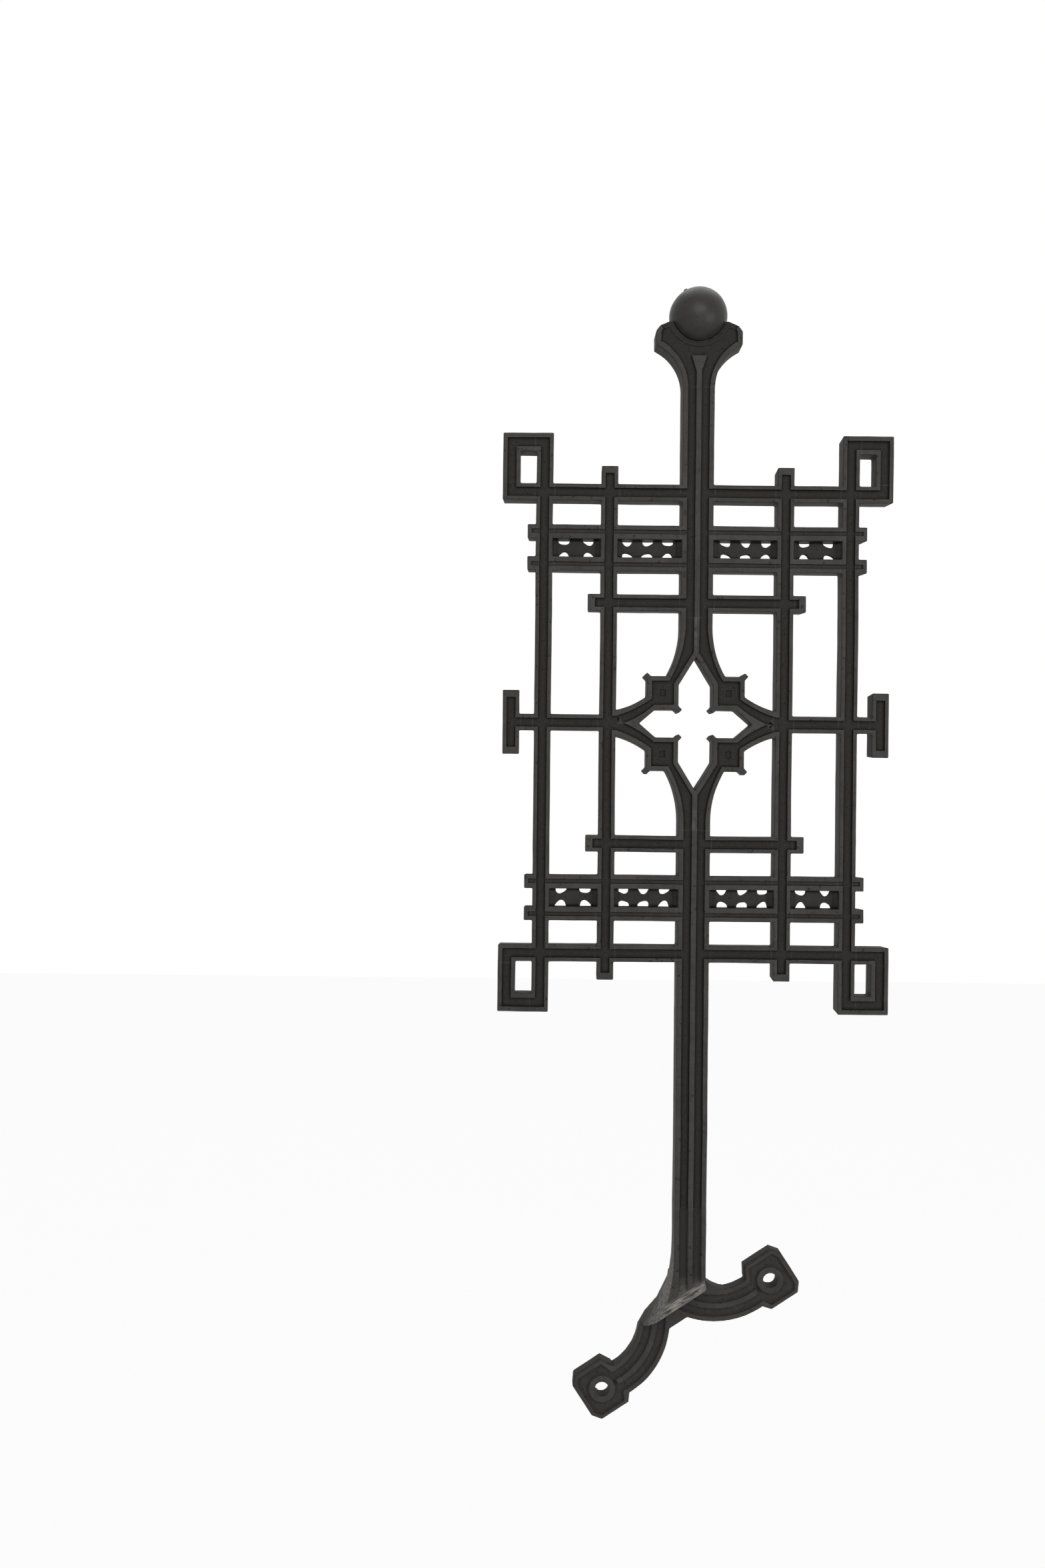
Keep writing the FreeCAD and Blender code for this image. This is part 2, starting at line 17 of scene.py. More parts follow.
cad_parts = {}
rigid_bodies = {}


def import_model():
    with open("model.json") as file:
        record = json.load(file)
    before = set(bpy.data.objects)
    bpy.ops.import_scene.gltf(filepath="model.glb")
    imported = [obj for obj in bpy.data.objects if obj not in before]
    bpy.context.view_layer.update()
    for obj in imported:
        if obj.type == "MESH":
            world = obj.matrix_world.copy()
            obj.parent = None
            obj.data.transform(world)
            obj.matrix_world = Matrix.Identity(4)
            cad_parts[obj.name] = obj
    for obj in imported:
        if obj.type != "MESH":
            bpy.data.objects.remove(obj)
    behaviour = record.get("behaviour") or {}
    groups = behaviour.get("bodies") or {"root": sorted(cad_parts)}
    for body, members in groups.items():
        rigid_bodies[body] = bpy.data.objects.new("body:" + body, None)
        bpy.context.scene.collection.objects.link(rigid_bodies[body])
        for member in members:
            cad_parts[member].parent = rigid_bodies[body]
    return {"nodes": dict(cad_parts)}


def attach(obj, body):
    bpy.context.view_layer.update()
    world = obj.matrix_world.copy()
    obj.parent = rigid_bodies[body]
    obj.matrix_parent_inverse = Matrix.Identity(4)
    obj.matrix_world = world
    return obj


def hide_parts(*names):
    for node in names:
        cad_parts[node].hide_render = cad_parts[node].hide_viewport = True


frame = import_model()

LOG = logging.getLogger("baluster")
MM = 0.001
TOUCH = 1e-6
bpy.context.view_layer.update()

Spot = tuple[float, float]
Corner = tuple[float, ...]
Test = Callable[[Vector], bool]


class Slot(Enum):
    """Finish slots of the part's record."""

    IRON = "cast_iron"
    TRAYS = "cast_iron_trays"


class Mark(Enum):
    """What a face of the flat layout becomes, kept as its material index while the panel is made."""

    FACE = 0
    SUNK = 1


@dataclass(frozen=True)
class Rect:
    """A level rectangle of the front view."""

    x0: float
    x1: float
    z0: float
    z1: float

    def holds(self, x: float, z: float) -> bool:
        """Whether a spot of the front view lies inside."""
        return self.x0 < x < self.x1 and self.z0 < z < self.z1

    def mirrored(self, side: int, end: int) -> "Rect":
        """The same rectangle in another quarter of the panel.

        Args:
            side: 1 for the right half, -1 for the left.
            end: 1 for the upper half, -1 for the lower.

        Returns:
            The mirrored rectangle.
        """
        xs = sorted((self.x0 * side, self.x1 * side))
        zs = sorted((self.z0 * end, self.z1 * end))
        return Rect(xs[0], xs[1], zs[0], zs[1])


QUARTERS = [(1, 1), (-1, 1), (1, -1), (-1, -1)]


def arc_spots(start: Spot, end: Spot, bow: float, steps: int) -> list[Spot]:
    """Spots along an arc, without its start.

    Args:
        start: Where the arc begins.
        end: Where it ends.
        bow: How far its middle lies to the left of the straight line.
        steps: How many pieces it is cut into.

    Returns:
        The spots, the end among them.
    """
    dx, dz = end[0] - start[0], end[1] - start[1]
    length = math.hypot(dx, dz)
    way = 1 if bow > 0 else -1
    sag = abs(bow)
    radius = (length ** 2 / 4 + sag ** 2) / (2 * sag)
    half_turn = math.asin(min(1.0, length / (2 * radius)))
    along = (dx / length, dz / length)
    out = (-along[1] * way, along[0] * way)
    middle = ((start[0] + end[0]) / 2, (start[1] + end[1]) / 2)
    centre = (middle[0] + out[0] * (sag - radius), middle[1] + out[1] * (sag - radius))
    spots = []
    for step in range(1, steps + 1):
        angle = half_turn * (2 * step / steps - 1)
        a, b = radius * math.sin(angle), radius * math.cos(angle)
        spots.append((centre[0] + along[0] * a + out[0] * b, centre[1] + along[1] * a + out[1] * b))
    spots[-1] = (end[0], end[1])
    return spots


def run(corners: Sequence[Corner], steps: int = 10) -> list[Spot]:
    """Turn corners into spots. A corner is (x, z), or (bow, x, z) when an arc leads to it.

    Args:
        corners: The corners in order.
        steps: How many pieces an arc is cut into.

    Returns:
        The spots.
    """
    spots: list[Spot] = [(corners[0][-2], corners[0][-1])]
    for corner in corners[1:]:
        here = (corner[-2], corner[-1])
        if len(corner) == 3:
            spots += arc_spots(spots[-1], here, corner[0], steps)
        else:
            spots.append(here)
    return spots


def circle_arc(centre: Spot, radius: float, from_deg: float, to_deg: float, steps: int) -> list[Spot]:
    """Spots on a circle between two angles, both ends among them."""
    spots = []
    for step in range(steps + 1):
        angle = math.radians(from_deg + (to_deg - from_deg) * step / steps)
        spots.append((centre[0] + radius * math.cos(angle), centre[1] + radius * math.sin(angle)))
    return spots


class Bench:
    """The modelling tools, each used on one object at a time."""

    @staticmethod
    def clear() -> None:
        """Leave edit mode and deselect everything."""
        if bpy.context.mode != "OBJECT":
            bpy.ops.object.mode_set(mode="OBJECT")
        bpy.ops.object.select_all(action="DESELECT")

    @classmethod
    def hold(cls, obj: bpy.types.Object) -> None:
        """Make one object the only one selected, and active."""
        cls.clear()
        obj.select_set(True)
        bpy.context.view_layer.objects.active = obj

    @classmethod
    def edit(cls, obj: bpy.types.Object, kind: str = "FACE") -> None:
        """Open an object in edit mode.

        Args:
            obj: The object.
            kind: VERT, EDGE or FACE, what is selected there.
        """
        if bpy.context.mode != "EDIT_MESH" or bpy.context.view_layer.objects.active is not obj:
            cls.hold(obj)
            bpy.ops.object.mode_set(mode="EDIT")
        bpy.ops.mesh.select_mode(type=kind)

    @classmethod
    def pick_faces(cls, obj: bpy.types.Object, test: Callable[[bmesh.types.BMFace], bool]) -> int:
        """Select only the faces that pass a test.

        Args:
            obj: The object, opened in edit mode.
            test: Says whether a face is wanted.

        Returns:
            How many were selected.
        """
        cls.edit(obj, "FACE")
        bpy.ops.mesh.select_all(action="DESELECT")
        mesh = bmesh.from_edit_mesh(obj.data)
        count = 0
        for face in mesh.faces:
            if test(face):
                face.select_set(True)
                count += 1
        bmesh.update_edit_mesh(obj.data, loop_triangles=False, destructive=False)
        return count

    @classmethod
    def pick_verts(cls, obj: bpy.types.Object, test: Test) -> None:
        """Select only the vertices whose place passes a test."""
        cls.edit(obj, "VERT")
        bpy.ops.mesh.select_all(action="DESELECT")
        mesh = bmesh.from_edit_mesh(obj.data)
        for vert in mesh.verts:
            if test(vert.co):
                vert.select_set(True)
        mesh.select_flush(True)
        bmesh.update_edit_mesh(obj.data, loop_triangles=False, destructive=False)

    @staticmethod
    def cut_selected(place: Vector, normal: Vector, clear_outer: bool = False) -> None:
        """Cut what is selected along a plane, and optionally drop what lies past it."""
        bpy.ops.mesh.bisect(plane_co=place, plane_no=normal, use_fill=False, clear_inner=False,
                            clear_outer=clear_outer, threshold=TOUCH)

    @classmethod
    def cut_all(cls, obj: bpy.types.Object, place: Vector, normal: Vector, clear_outer: bool = False) -> None:
        """Cut the whole object along a plane."""
        cls.edit(obj, "FACE")
        bpy.ops.mesh.select_all(action="SELECT")
        cls.cut_selected(place, normal, clear_outer)

    @classmethod
    def outline(cls, name: str, places: Sequence[Vector]) -> bpy.types.Object:
        """Draw a closed outline vertex by vertex and fill it with one face.

        Args:
            name: Name of the new object.
            places: The outline's vertices in order, in metres.

        Returns:
            The new object.
        """
        cls.clear()
        bpy.ops.mesh.primitive_plane_add(size=MM, location=(0, 0, 0))
        obj = bpy.context.object
        obj.name = name
        cls.edit(obj, "VERT")
        bpy.ops.mesh.select_all(action="SELECT")
        bpy.ops.mesh.merge(type="CENTER")
        bpy.ops.mesh.select_all(action="SELECT")
        bpy.ops.transform.translate(value=places[0])
        last = places[0]
        for place in [*places[1:], places[0]]:
            bpy.ops.mesh.extrude_vertices_move(TRANSFORM_OT_translate={"value": place - last})
            last = place
        bpy.ops.mesh.select_all(action="SELECT")
        bpy.ops.mesh.remove_doubles(threshold=TOUCH)
        bpy.ops.mesh.select_all(action="SELECT")
        bpy.ops.mesh.edge_face_add()
        bpy.ops.object.mode_set(mode="OBJECT")
        return obj

    @classmethod
    def extruded(cls, obj: bpy.types.Object, by: Vector) -> bpy.types.Object:
        """Extrude a flat face into a closed solid whose faces point outwards."""
        cls.edit(obj, "FACE")
        bpy.ops.mesh.select_all(action="SELECT")
        bpy.ops.mesh.extrude_region_move(TRANSFORM_OT_translate={"value": by})
        cls.face_out(obj)
        return obj

    @classmethod
    def face_out(cls, obj: bpy.types.Object) -> None:
        """Turn every face of a closed mesh outwards."""
        cls.edit(obj, "FACE")
        bpy.ops.mesh.select_all(action="SELECT")
        bpy.ops.mesh.normals_make_consistent(inside=False)
        bpy.ops.object.mode_set(mode="OBJECT")

    @classmethod
    def joined(cls, name: str, objects: Sequence[bpy.types.Object], merge: bool = True) -> bpy.types.Object:
        """Join objects into the first, and merge the vertices that meet.

        Args:
            name: Name of the joined object.
            objects: The objects.
            merge: Whether vertices that meet become one.

        Returns:
            The joined object.
        """
        cls.clear()
        for obj in objects:
            obj.select_set(True)
        bpy.context.view_layer.objects.active = objects[0]
        bpy.ops.object.join()
        obj = bpy.context.object
        obj.name = name
        if merge:
            cls.edit(obj, "VERT")
            bpy.ops.mesh.select_all(action="SELECT")
            bpy.ops.mesh.remove_doubles(threshold=20 * TOUCH)
            bpy.ops.object.mode_set(mode="OBJECT")
        return obj

    @classmethod
    def modify(cls, obj: bpy.types.Object, kind: str, **settings: object) -> None:
        """Add a modifier, set it and apply it.

        Args:
            obj: The object.
            kind: The modifier's type.
            **settings: Its settings.
        """
        cls.hold(obj)
        modifier = obj.modifiers.new(kind.lower(), kind)
        for key, value in settings.items():
            setattr(modifier, key, value)
        bpy.ops.object.modifier_apply(modifier=modifier.name)

    @classmethod
    def combined(cls, obj: bpy.types.Object, others: Iterable[bpy.types.Object], operation: str) -> None:
        """Add to, cut from or keep where they meet the other solids, which are used up."""
        for other in others:
            cls.modify(obj, "BOOLEAN", operation=operation, solver="EXACT", object=other)
            bpy.data.objects.remove(other)

    @classmethod
    def split_off(cls, obj: bpy.types.Object, name: str, test: Test) -> bpy.types.Object | None:
        """Separate the faces whose centre passes a test into an object of their own, with its open ends closed.

        Args:
            obj: The object to take from.
            name: Name of the new object.
            test: Says of a face's centre whether it is taken.

        Returns:
            The new object, or None if no face passed.
        """
        count = cls.pick_faces(obj, lambda face: test(face.calc_center_median()))
        if not count:
            LOG.warning("nothing to split off for %s", name)
            return None
        before = set(bpy.data.objects)
        bpy.ops.mesh.separate(type="SELECTED")
        bpy.ops.object.mode_set(mode="OBJECT")
        part = next(other for other in bpy.data.objects if other not in before)
        part.name = name
        cls.close_ends(part)
        return part

    @classmethod
    def close_ends(cls, obj: bpy.types.Object) -> None:
        """Fill every open loop with a face."""
        cls.edit(obj, "EDGE")
        bpy.ops.mesh.select_all(action="DESELECT")
        bpy.ops.mesh.select_non_manifold(extend=False, use_wire=False, use_boundary=True, use_multi_face=False,
                                         use_non_contiguous=False, use_verts=False)
        bpy.ops.mesh.fill_holes(sides=0)
        bpy.ops.object.mode_set(mode="OBJECT")


@dataclass(frozen=True)
class Cast:
    """How far a casting strays from its pattern, and how it is shaded."""

    ripple: float = 0.22
    ripple_size: float = 11.0
    sway: float = 0.5
    sway_size: float = 70.0
    smooth_deg: float = 50.0

    def texture(self, name: str, size: float) -> bpy.types.Texture:
        """A cloud pattern of the given size that pushes each axis by its own amount."""
        clouds = bpy.data.textures.new(name, "CLOUDS")
        clouds.cloud_type = "COLOR"
        clouds.noise_scale = size * MM
        clouds.noise_depth = 1
        return clouds

    def roughen(self, obj: bpy.types.Object) -> None:
        """Push the surface a little out of true. The same place is pushed alike on every piece."""
        for name, size, amount in (("ripple", self.ripple_size, self.ripple), ("sway", self.sway_size, self.sway)):
            clouds = bpy.data.textures.get(name) or self.texture(name, size)
            Bench.modify(obj, "DISPLACE", texture=clouds, texture_coords="LOCAL", direction="RGB_TO_XYZ",
                         strength=amount * MM, mid_level=0.5)

    def shade(self, obj: bpy.types.Object) -> None:
        """Smooth the shading inside rounded edges and keep flat faces flat."""
        Bench.hold(obj)
        bpy.ops.object.shade_smooth_by_angle(angle=math.radians(self.smooth_deg))
        Bench.modify(obj, "WEIGHTED_NORMAL", mode="FACE_AREA_WITH_ANGLE", weight=50, keep_sharp=True)


@dataclass(frozen=True)
class PanelSizes:
    """Sizes of the lattice, stem, quatrefoil and cradle."""

    centre_x: float = -3.5
    centre_z: float = 431.2
    stand: float = 35.0
    depth: float = 16.0
    draft: float = 0.85
    bar: float = 11.4
    rim: float = 2.7
    groove: float = 1.3
    slot: float = 0.7
    outer_x: float = 103.6
    outer_top: float = 195.6
    inner_x: float = 59.6
    inner_top: float = 173.7
    spur_rim: float = 4.9
    rail_z: float = 155.8
    rail_end: float = 132.1
    tie_z: float = 81.4
    tie_end: float = 73.9
    tray_rail: float = 9.5
    tray_inner_z: float = 107.4
    tray_outer_z: float = 129.0
    tray_rail_end: float = 114.9
    tray_groove: float = 2.8
    tray_groove_shift: float = 0.25
    tee_x: float = 124.9
    tee_h: float = 43.6
    corner_side: float = 12.0
    corner_far: float = 12.7
    stem: float = 21.4
    stem_rim: float = 3.35
    stem_mid_rim: float = 3.6
    split_z: float = 72.0
    knee_z: float = -328.0
    knee_overlap: float = 8.0
    cradle_z: float = 228.0

    @property
    def front(self) -> float:
        """Depth of the front plane."""
        return -(self.stand + self.depth)

    @property
    def stem_half(self) -> float:
        """Half the stem's width."""
        return self.stem / 2

    @property
    def stem_in(self) -> float:
        """Inner edge of a stem groove."""
        return self.stem_mid_rim / 2

    @property
    def stem_out(self) -> float:
        """Outer edge of a stem groove."""
        return self.stem / 2 - self.stem_rim

    def place(self, x: float, z: float, y: float | None = None) -> Vector:
        """A spot of the panel as a point of the part's frame, in metres."""
        depth = self.front if y is None else y
        return Vector((x + self.centre_x, depth, z + self.centre_z)) * MM

    def spot(self, point: Vector) -> Spot:
        """A point of the part's frame as a spot of the panel."""
        return (point.x / MM - self.centre_x, point.z / MM - self.centre_z)


@dataclass(frozen=True)
class ArmSizes:
    """Sizes of one quatrefoil arm, in the upper right quarter."""

    curve_z: float = 65.0
    in_x: float = 11.6
    out_x: float = 32.9
    in_z: float = 9.5
    out_z: float = 32.1
    rim: float = 3.2
    top_x: float = 19.6
    top_bow: float = 2.2
    side_z: float = 18.5
    side_end_z: float = 8.8
    side_bow: float = 1.1
    star_h: float = 45.0
    star_w: float = 38.1
    star_top_z: float = 26.1
    star_side_x: float = 27.1
    star_rim_x: float = 48.6
    star_rim_step: float = 1.0
    mouth: float = 4.8
    nub_w: float = 3.4
    nub_out: float = 1.8
    pellet_w: float = 3.6
    pellet_h: float = 4.5
    pellet_depth: float = 0.6

    def nub(self, x: float, z: float, way: int) -> list[Spot]:
        """The four outline spots of a nub that stands out of a boss corner, in the order of the outline."""
        reach = self.nub_w / math.sqrt(2)
        tip = self.nub_out / math.sqrt(2)
        half = self.nub_w / 2 / math.sqrt(2)
        spots = [(-reach, 0.0), (tip - half, tip + half), (tip + half, tip - half), (0.0, -reach)]
        return [(x + way * dx, z + way * dz) for dx, dz in spots]


@dataclass(frozen=True)
class CradleSizes:
    """Sizes of the horned cradle and its ball, from the panel's centre."""

    ball_r: float = 19.7
    ball_z: float = 277.5
    seat_gap: float = 0.15
    spigot_r: float = 4.5
    spigot_len: float = 9.0
    spigot_gap: float = 0.1
    curve_bow: float = 4.35
    curve_x: float = 27.7
    curve_z: float = 255.6
    horn_x: float = 29.2
    horn_low_z: float = 256.4
    horn_high_z: float = 265.5
    top_x: float = 26.3
    top_z: float = 269.4
    seat_x: float = 19.4
    seat_z: float = 272.3
    lip_x: float = 15.0
    lip_z: float = 271.5
    ring: float = 2.3
    rim: float = 3.4
    slant: float = 2.72
    key_half: float = 5.2
    key_top_z: float = 249.1
    key_low_z: float = 237.9
    ring_end_x: float = 20.03
    ring_spare: float = 1.03
    seat_drop: float = 1.0


@dataclass
class Panel:
    """The lattice with its stem, quatrefoil and cradle, made as one skin and then divided into its pieces."""

    sizes: PanelSizes = field(default_factory=PanelSizes)
    arm: ArmSizes = field(default_factory=ArmSizes)
    cradle: CradleSizes = field(default_factory=CradleSizes)
    edge_round: float = 0.7
    groove_round_share: float = 0.36
    seam_gap: float = 1.0
    step: float = 7.0

    def in_quarters(self, rects: Iterable[Rect]) -> list[Rect]:
        """Each rectangle in every quarter of the panel."""
        found = {rect.mirrored(side, end) for rect in rects for side, end in QUARTERS}
        return sorted(found, key=lambda rect: (rect.x0, rect.z0, rect.x1, rect.z1))

    def bars(self) -> list[Rect]:
        """Where there is metal in the straight part of the panel."""
        s = self.sizes
        half, tray = s.bar / 2, s.tray_rail / 2
        whole = [
            Rect(s.outer_x - half, s.outer_x + half, -s.outer_top, s.outer_top),
            Rect(s.inner_x - half, s.inner_x + half, -s.inner_top, s.inner_top),
            Rect(s.tee_x - half, s.tee_x + half, -s.tee_h / 2, s.tee_h / 2),
            Rect(s.inner_x, s.tee_x, -half, half),
            Rect(-s.rail_end, s.rail_end, s.rail_z - half, s.rail_z + half),
            Rect(-s.tie_end, s.tie_end, s.tie_z - half, s.tie_z + half),
            Rect(-s.tray_rail_end, s.tray_rail_end, s.tray_inner_z - tray, s.tray_inner_z + tray),
            Rect(-s.tray_rail_end, s.tray_rail_end, s.tray_outer_z - tray, s.tray_outer_z + tray),
            Rect(s.outer_x, s.rail_end, s.outer_top - s.corner_far, s.outer_top),
            Rect(s.rail_end - s.corner_side, s.rail_end, s.rail_z, s.outer_top),
        ]
        stem = [
            Rect(-s.stem_half, s.stem_half, s.split_z, s.cradle_z),
            Rect(-s.stem_half, s.stem_half, s.knee_z - s.knee_overlap, -s.split_z),
        ]
        return self.in_quarters(whole) + stem

    def grooves(self) -> list[Rect]:
        """The deep grooves of the straight bars."""
        s = self.sizes
        half = s.bar / 2 - s.rim
        corner_x = s.rail_end - s.corner_side / 2
        corner_z = s.outer_top - s.corner_far / 2
        inner_end = s.inner_top - s.spur_rim
        tee_end = s.tee_h / 2 - s.spur_rim
        found = [
            Rect(s.outer_x - half, s.outer_x + half, -corner_z - half, corner_z + half),
            Rect(s.inner_x - half, s.inner_x + half, -inner_end, inner_end),
            Rect(s.tee_x - half, s.tee_x + half, -tee_end, tee_end),
            Rect(s.inner_x, s.tee_x, -half, half),
            Rect(s.stem_in, corner_x + half, s.rail_z - half, s.rail_z + half),
            Rect(s.stem_in, s.tie_end - s.spur_rim, s.tie_z - half, s.tie_z + half),
            Rect(s.outer_x, corner_x + half, corner_z - half, corner_z + half),
            Rect(corner_x - half, corner_x + half, s.rail_z, corner_z),
        ]
        stem = [
            Rect(s.stem_in, s.stem_out, s.split_z, s.cradle_z).mirrored(side, 1) for side in (1, -1)
        ] + [
            Rect(s.stem_in, s.stem_out, s.knee_z - s.knee_overlap, -s.split_z).mirrored(side, 1)
            for side in (1, -1)
        ]
        mouth = Rect(s.inner_x - s.bar / 2, s.inner_x, -self.arm.mouth, self.arm.mouth)
        return self.in_quarters([*found, mouth]) + stem

    def slots(self) -> list[Rect]:
        """The fine grooves of the tray rails."""
        s = self.sizes
        half, end = s.tray_groove / 2, s.tray_rail_end - s.rim
        outer, inner = s.tray_outer_z + s.tray_groove_shift, s.tray_inner_z - s.tray_groove_shift
        return self.in_quarters([Rect(s.stem_in, end, z - half, z + half) for z in (outer, inner)])

    def edge_lines(self) -> tuple[dict[float, int], dict[float, int]]:
        """The edges of the drafted bars.

        Returns:
            For the upright edges and for the level edges, each edge's place and which way it leans at the back.
        """
        s = self.sizes
        across: dict[float, int] = {}
        up: dict[float, int] = {}
        for rect in self.bars():
            if abs(rect.x1 - rect.x0 - s.stem) < TOUCH:
                continue
            inner_start = abs(abs(rect.x0) - s.inner_x) < TOUCH or abs(abs(rect.x0) - s.outer_x) < TOUCH
            if not inner_start:
                across[round(rect.x0, 4)] = 1
            if not (abs(abs(rect.x1) - s.inner_x) < TOUCH or abs(abs(rect.x1) - s.outer_x) < TOUCH
                    or abs(abs(rect.x1) - s.tee_x) < TOUCH):
                across[round(rect.x1, 4)] = -1
            if abs(abs(rect.z0) - s.rail_z) > TOUCH:
                up[round(rect.z0, 4)] = 1
            if abs(abs(rect.z1) - s.rail_z) > TOUCH:
                up[round(rect.z1, 4)] = -1
        for place in (s.tee_x, -s.tee_x):
            across.pop(round(place, 4), None)
        return across, up

    def grid(self) -> bpy.types.Object:
        """The straight part as one flat sheet of cells."""
        s = self.sizes
        bars = self.bars()
        rects = bars + self.grooves() + self.slots()
        xs = sorted({0.0} | {round(v, 4) for rect in rects for v in (rect.x0, rect.x1)})
        zs = {round(v, 4) for rect in rects for v in (rect.z0, rect.z1)}
        zs |= {0.0, self.arm.side_end_z, -self.arm.side_end_z}
        Bench.clear()
        bpy.ops.mesh.primitive_plane_add(size=1, location=(0, 0, 0), rotation=(math.pi / 2, 0, 0))
        sheet = bpy.context.object
        sheet.name = "panel"
        low, high = min(zs), max(zs)
        sheet.scale = ((xs[-1] - xs[0]) * MM, (high - low) * MM, 1)
        sheet.location = s.place((xs[0] + xs[-1]) / 2, (low + high) / 2)
        bpy.ops.object.transform_apply(location=True, rotation=True, scale=True)
        for x in xs[1:-1]:
            Bench.cut_all(sheet, s.place(x, 0), Vector((1, 0, 0)))
        for z in sorted(zs)[1:-1]:
            Bench.cut_all(sheet, s.place(0, z), Vector((0, 0, 1)))
        Bench.pick_faces(sheet, lambda face: not any(
            rect.holds(*s.spot(face.calc_center_median())) for rect in bars))
        bpy.ops.mesh.delete(type="FACE")
        bpy.ops.object.mode_set(mode="OBJECT")
        return sheet

    def flat_face(self, name: str, spots: Sequence[Spot], mark: Mark) -> bpy.types.Object:
        """One face of the layout, with its mark."""
        obj = Bench.outline(name, [self.sizes.place(x, z) for x, z in spots])
        for index in Mark:
            obj.data.materials.append(layout_material(index))
        for polygon in obj.data.polygons:
            polygon.material_index = mark.value
        return obj

    def arm_faces(self) -> list[bpy.types.Object]:
        """The flat faces of the four arms: outer rim, channel and inner rim."""
        s, a = self.sizes, self.arm
        end_x = s.inner_x - s.bar / 2
        half = s.bar / 2
        groove_half = half - s.rim
        outer = run([(s.stem_half, s.split_z), (s.stem_half, a.curve_z), (-a.top_bow, a.top_x, a.out_z)])
        outer += a.nub(a.out_x, a.out_z, 1)
        outer += run([(a.out_x, a.side_z), (-a.side_bow, end_x, a.side_end_z)])
        channel_out = run([(s.stem_out, s.split_z), (s.stem_out, a.curve_z),
                           (-a.top_bow, a.top_x - a.rim / 2, a.out_z - a.rim), (a.out_x - a.rim, a.out_z - a.rim),
                           (a.out_x - a.rim, a.side_z - a.rim / 2), (-a.side_bow, end_x, a.mouth)])
        channel_in = run([(a.star_rim_x, 0.0), (a.side_bow, a.star_side_x + a.star_rim_step, a.in_z + a.rim),
                          (a.in_x + a.rim, a.in_z + a.rim), (a.in_x + a.rim, a.star_top_z + a.star_rim_step),
                          (s.stem_in, a.star_h + a.rim), (s.stem_in, s.split_z)])
        inner = [(a.star_w, 0.0), (a.star_side_x, a.in_z)]
        inner += a.nub(a.in_x, a.in_z, -1)
        inner += [(a.in_x, a.star_top_z), (0.0, a.star_h), (0.0, s.split_z)]
        faces = []
        for side, end in QUARTERS:
            tag = f"{side}{end}"
            for name, spots, mark in (
                ("rim" + tag, outer + [(end_x, half)] + channel_out[::-1], Mark.FACE),
                ("channel" + tag, channel_out + [(end_x, groove_half), (end_x, 0.0)] + channel_in, Mark.SUNK),
                ("star" + tag, inner + channel_in[::-1], Mark.FACE),
            ):
                faces.append(self.flat_face(name, [(side * x, end * z) for x, z in spots], mark))
        return faces

    def cradle_faces(self) -> list[bpy.types.Object]:
        """The flat faces of the cradle: its rim and seat ring, the sunk field and the key."""
        s, c = self.sizes, self.cradle
        base = s.cradle_z
        ring_r = c.ball_r + c.ring
        edge = run([(s.stem_half, base), (c.curve_bow, c.curve_x, c.curve_z), (c.horn_x, c.horn_low_z),
                    (c.horn_x, c.horn_high_z), (c.top_x, c.top_z), (c.seat_x, c.seat_z), (c.lip_x, c.lip_z)])
        field_edge = run([(s.stem_out, base), (c.curve_bow, c.curve_x - c.slant, c.curve_z + c.slant),
                          (c.horn_x - c.rim, c.horn_low_z + 1.6), (c.horn_x - c.rim, c.horn_high_z - 1.2),
                          (c.top_x - 1.5, c.top_z - c.slant)])
        ring = self.seat_ring()
        left = [(-x, z) for x, z in reversed(field_edge)]
        key = [(s.stem_in, base), (s.stem_in, c.key_low_z), (c.key_half, c.key_top_z),
               (-c.key_half, c.key_top_z), (-s.stem_in, c.key_low_z), (-s.stem_in, base)]
        rim = edge + [(-x, z) for x, z in reversed(edge)] + left[::-1] + ring[::-1] + field_edge[::-1]
        return [
            self.flat_face("cradle_rim", rim, Mark.FACE),
            self.flat_face("cradle_field", field_edge + ring + left + key[::-1], Mark.SUNK),
            self.flat_face("cradle_key", key + [(0.0, base)], Mark.FACE),
        ]

    def seat_ring(self) -> list[Spot]:
        """The lower edge of the ring round the ball's seat, from right to left."""
        c = self.cradle
        radius = c.ball_r + c.ring
        start = -math.degrees(math.acos(c.ring_end_x / radius))
        return circle_arc((0.0, c.ball_z), radius, start, -180 - start, 28)

    def lower_seat(self, cradle: bpy.types.Object) -> None:
        """Take the ring and the top of the horns down, so that only a low step is left above the field."""
        s, c = self.sizes, self.cradle
        inner = (c.top_x - 1.5, c.top_z - c.slant)
        along = (c.top_x - inner[0], c.top_z - inner[1])
        outer = (inner[0] + 1.6 * along[0], inner[1] + 1.6 * along[1])
        ring = self.seat_ring()
        low = [(x * c.ring_spare, c.ball_z + (z - c.ball_z) * c.ring_spare) for x, z in ring]
        top_z = c.seat_z + 3.0
        spots = [outer, (outer[0], top_z), (-outer[0], top_z), (-outer[0], outer[1]), (-inner[0], inner[1])]
        spots += low[::-1] + [inner]
        flat = Bench.outline("seat_cutter", [s.place(x, z, s.front - 1.0) for x, z in spots])
        Bench.combined(cradle, [Bench.extruded(flat, Vector((0, (1.0 + c.seat_drop) * MM, 0)))], "DIFFERENCE")

    def skin(self) -> bpy.types.Object:
        """The whole panel as one closed, rounded skin."""
        s, a = self.sizes, self.arm
        sheet = self.grid()
        for index in Mark:
            sheet.data.materials.append(layout_material(index))
        panel = Bench.joined("panel", [sheet, *self.arm_faces(), *self.cradle_faces()])
        Bench.extruded(panel, Vector((0, s.depth * MM, 0)))
        self.lean(panel)
        grooves, slots = self.grooves(), self.slots()

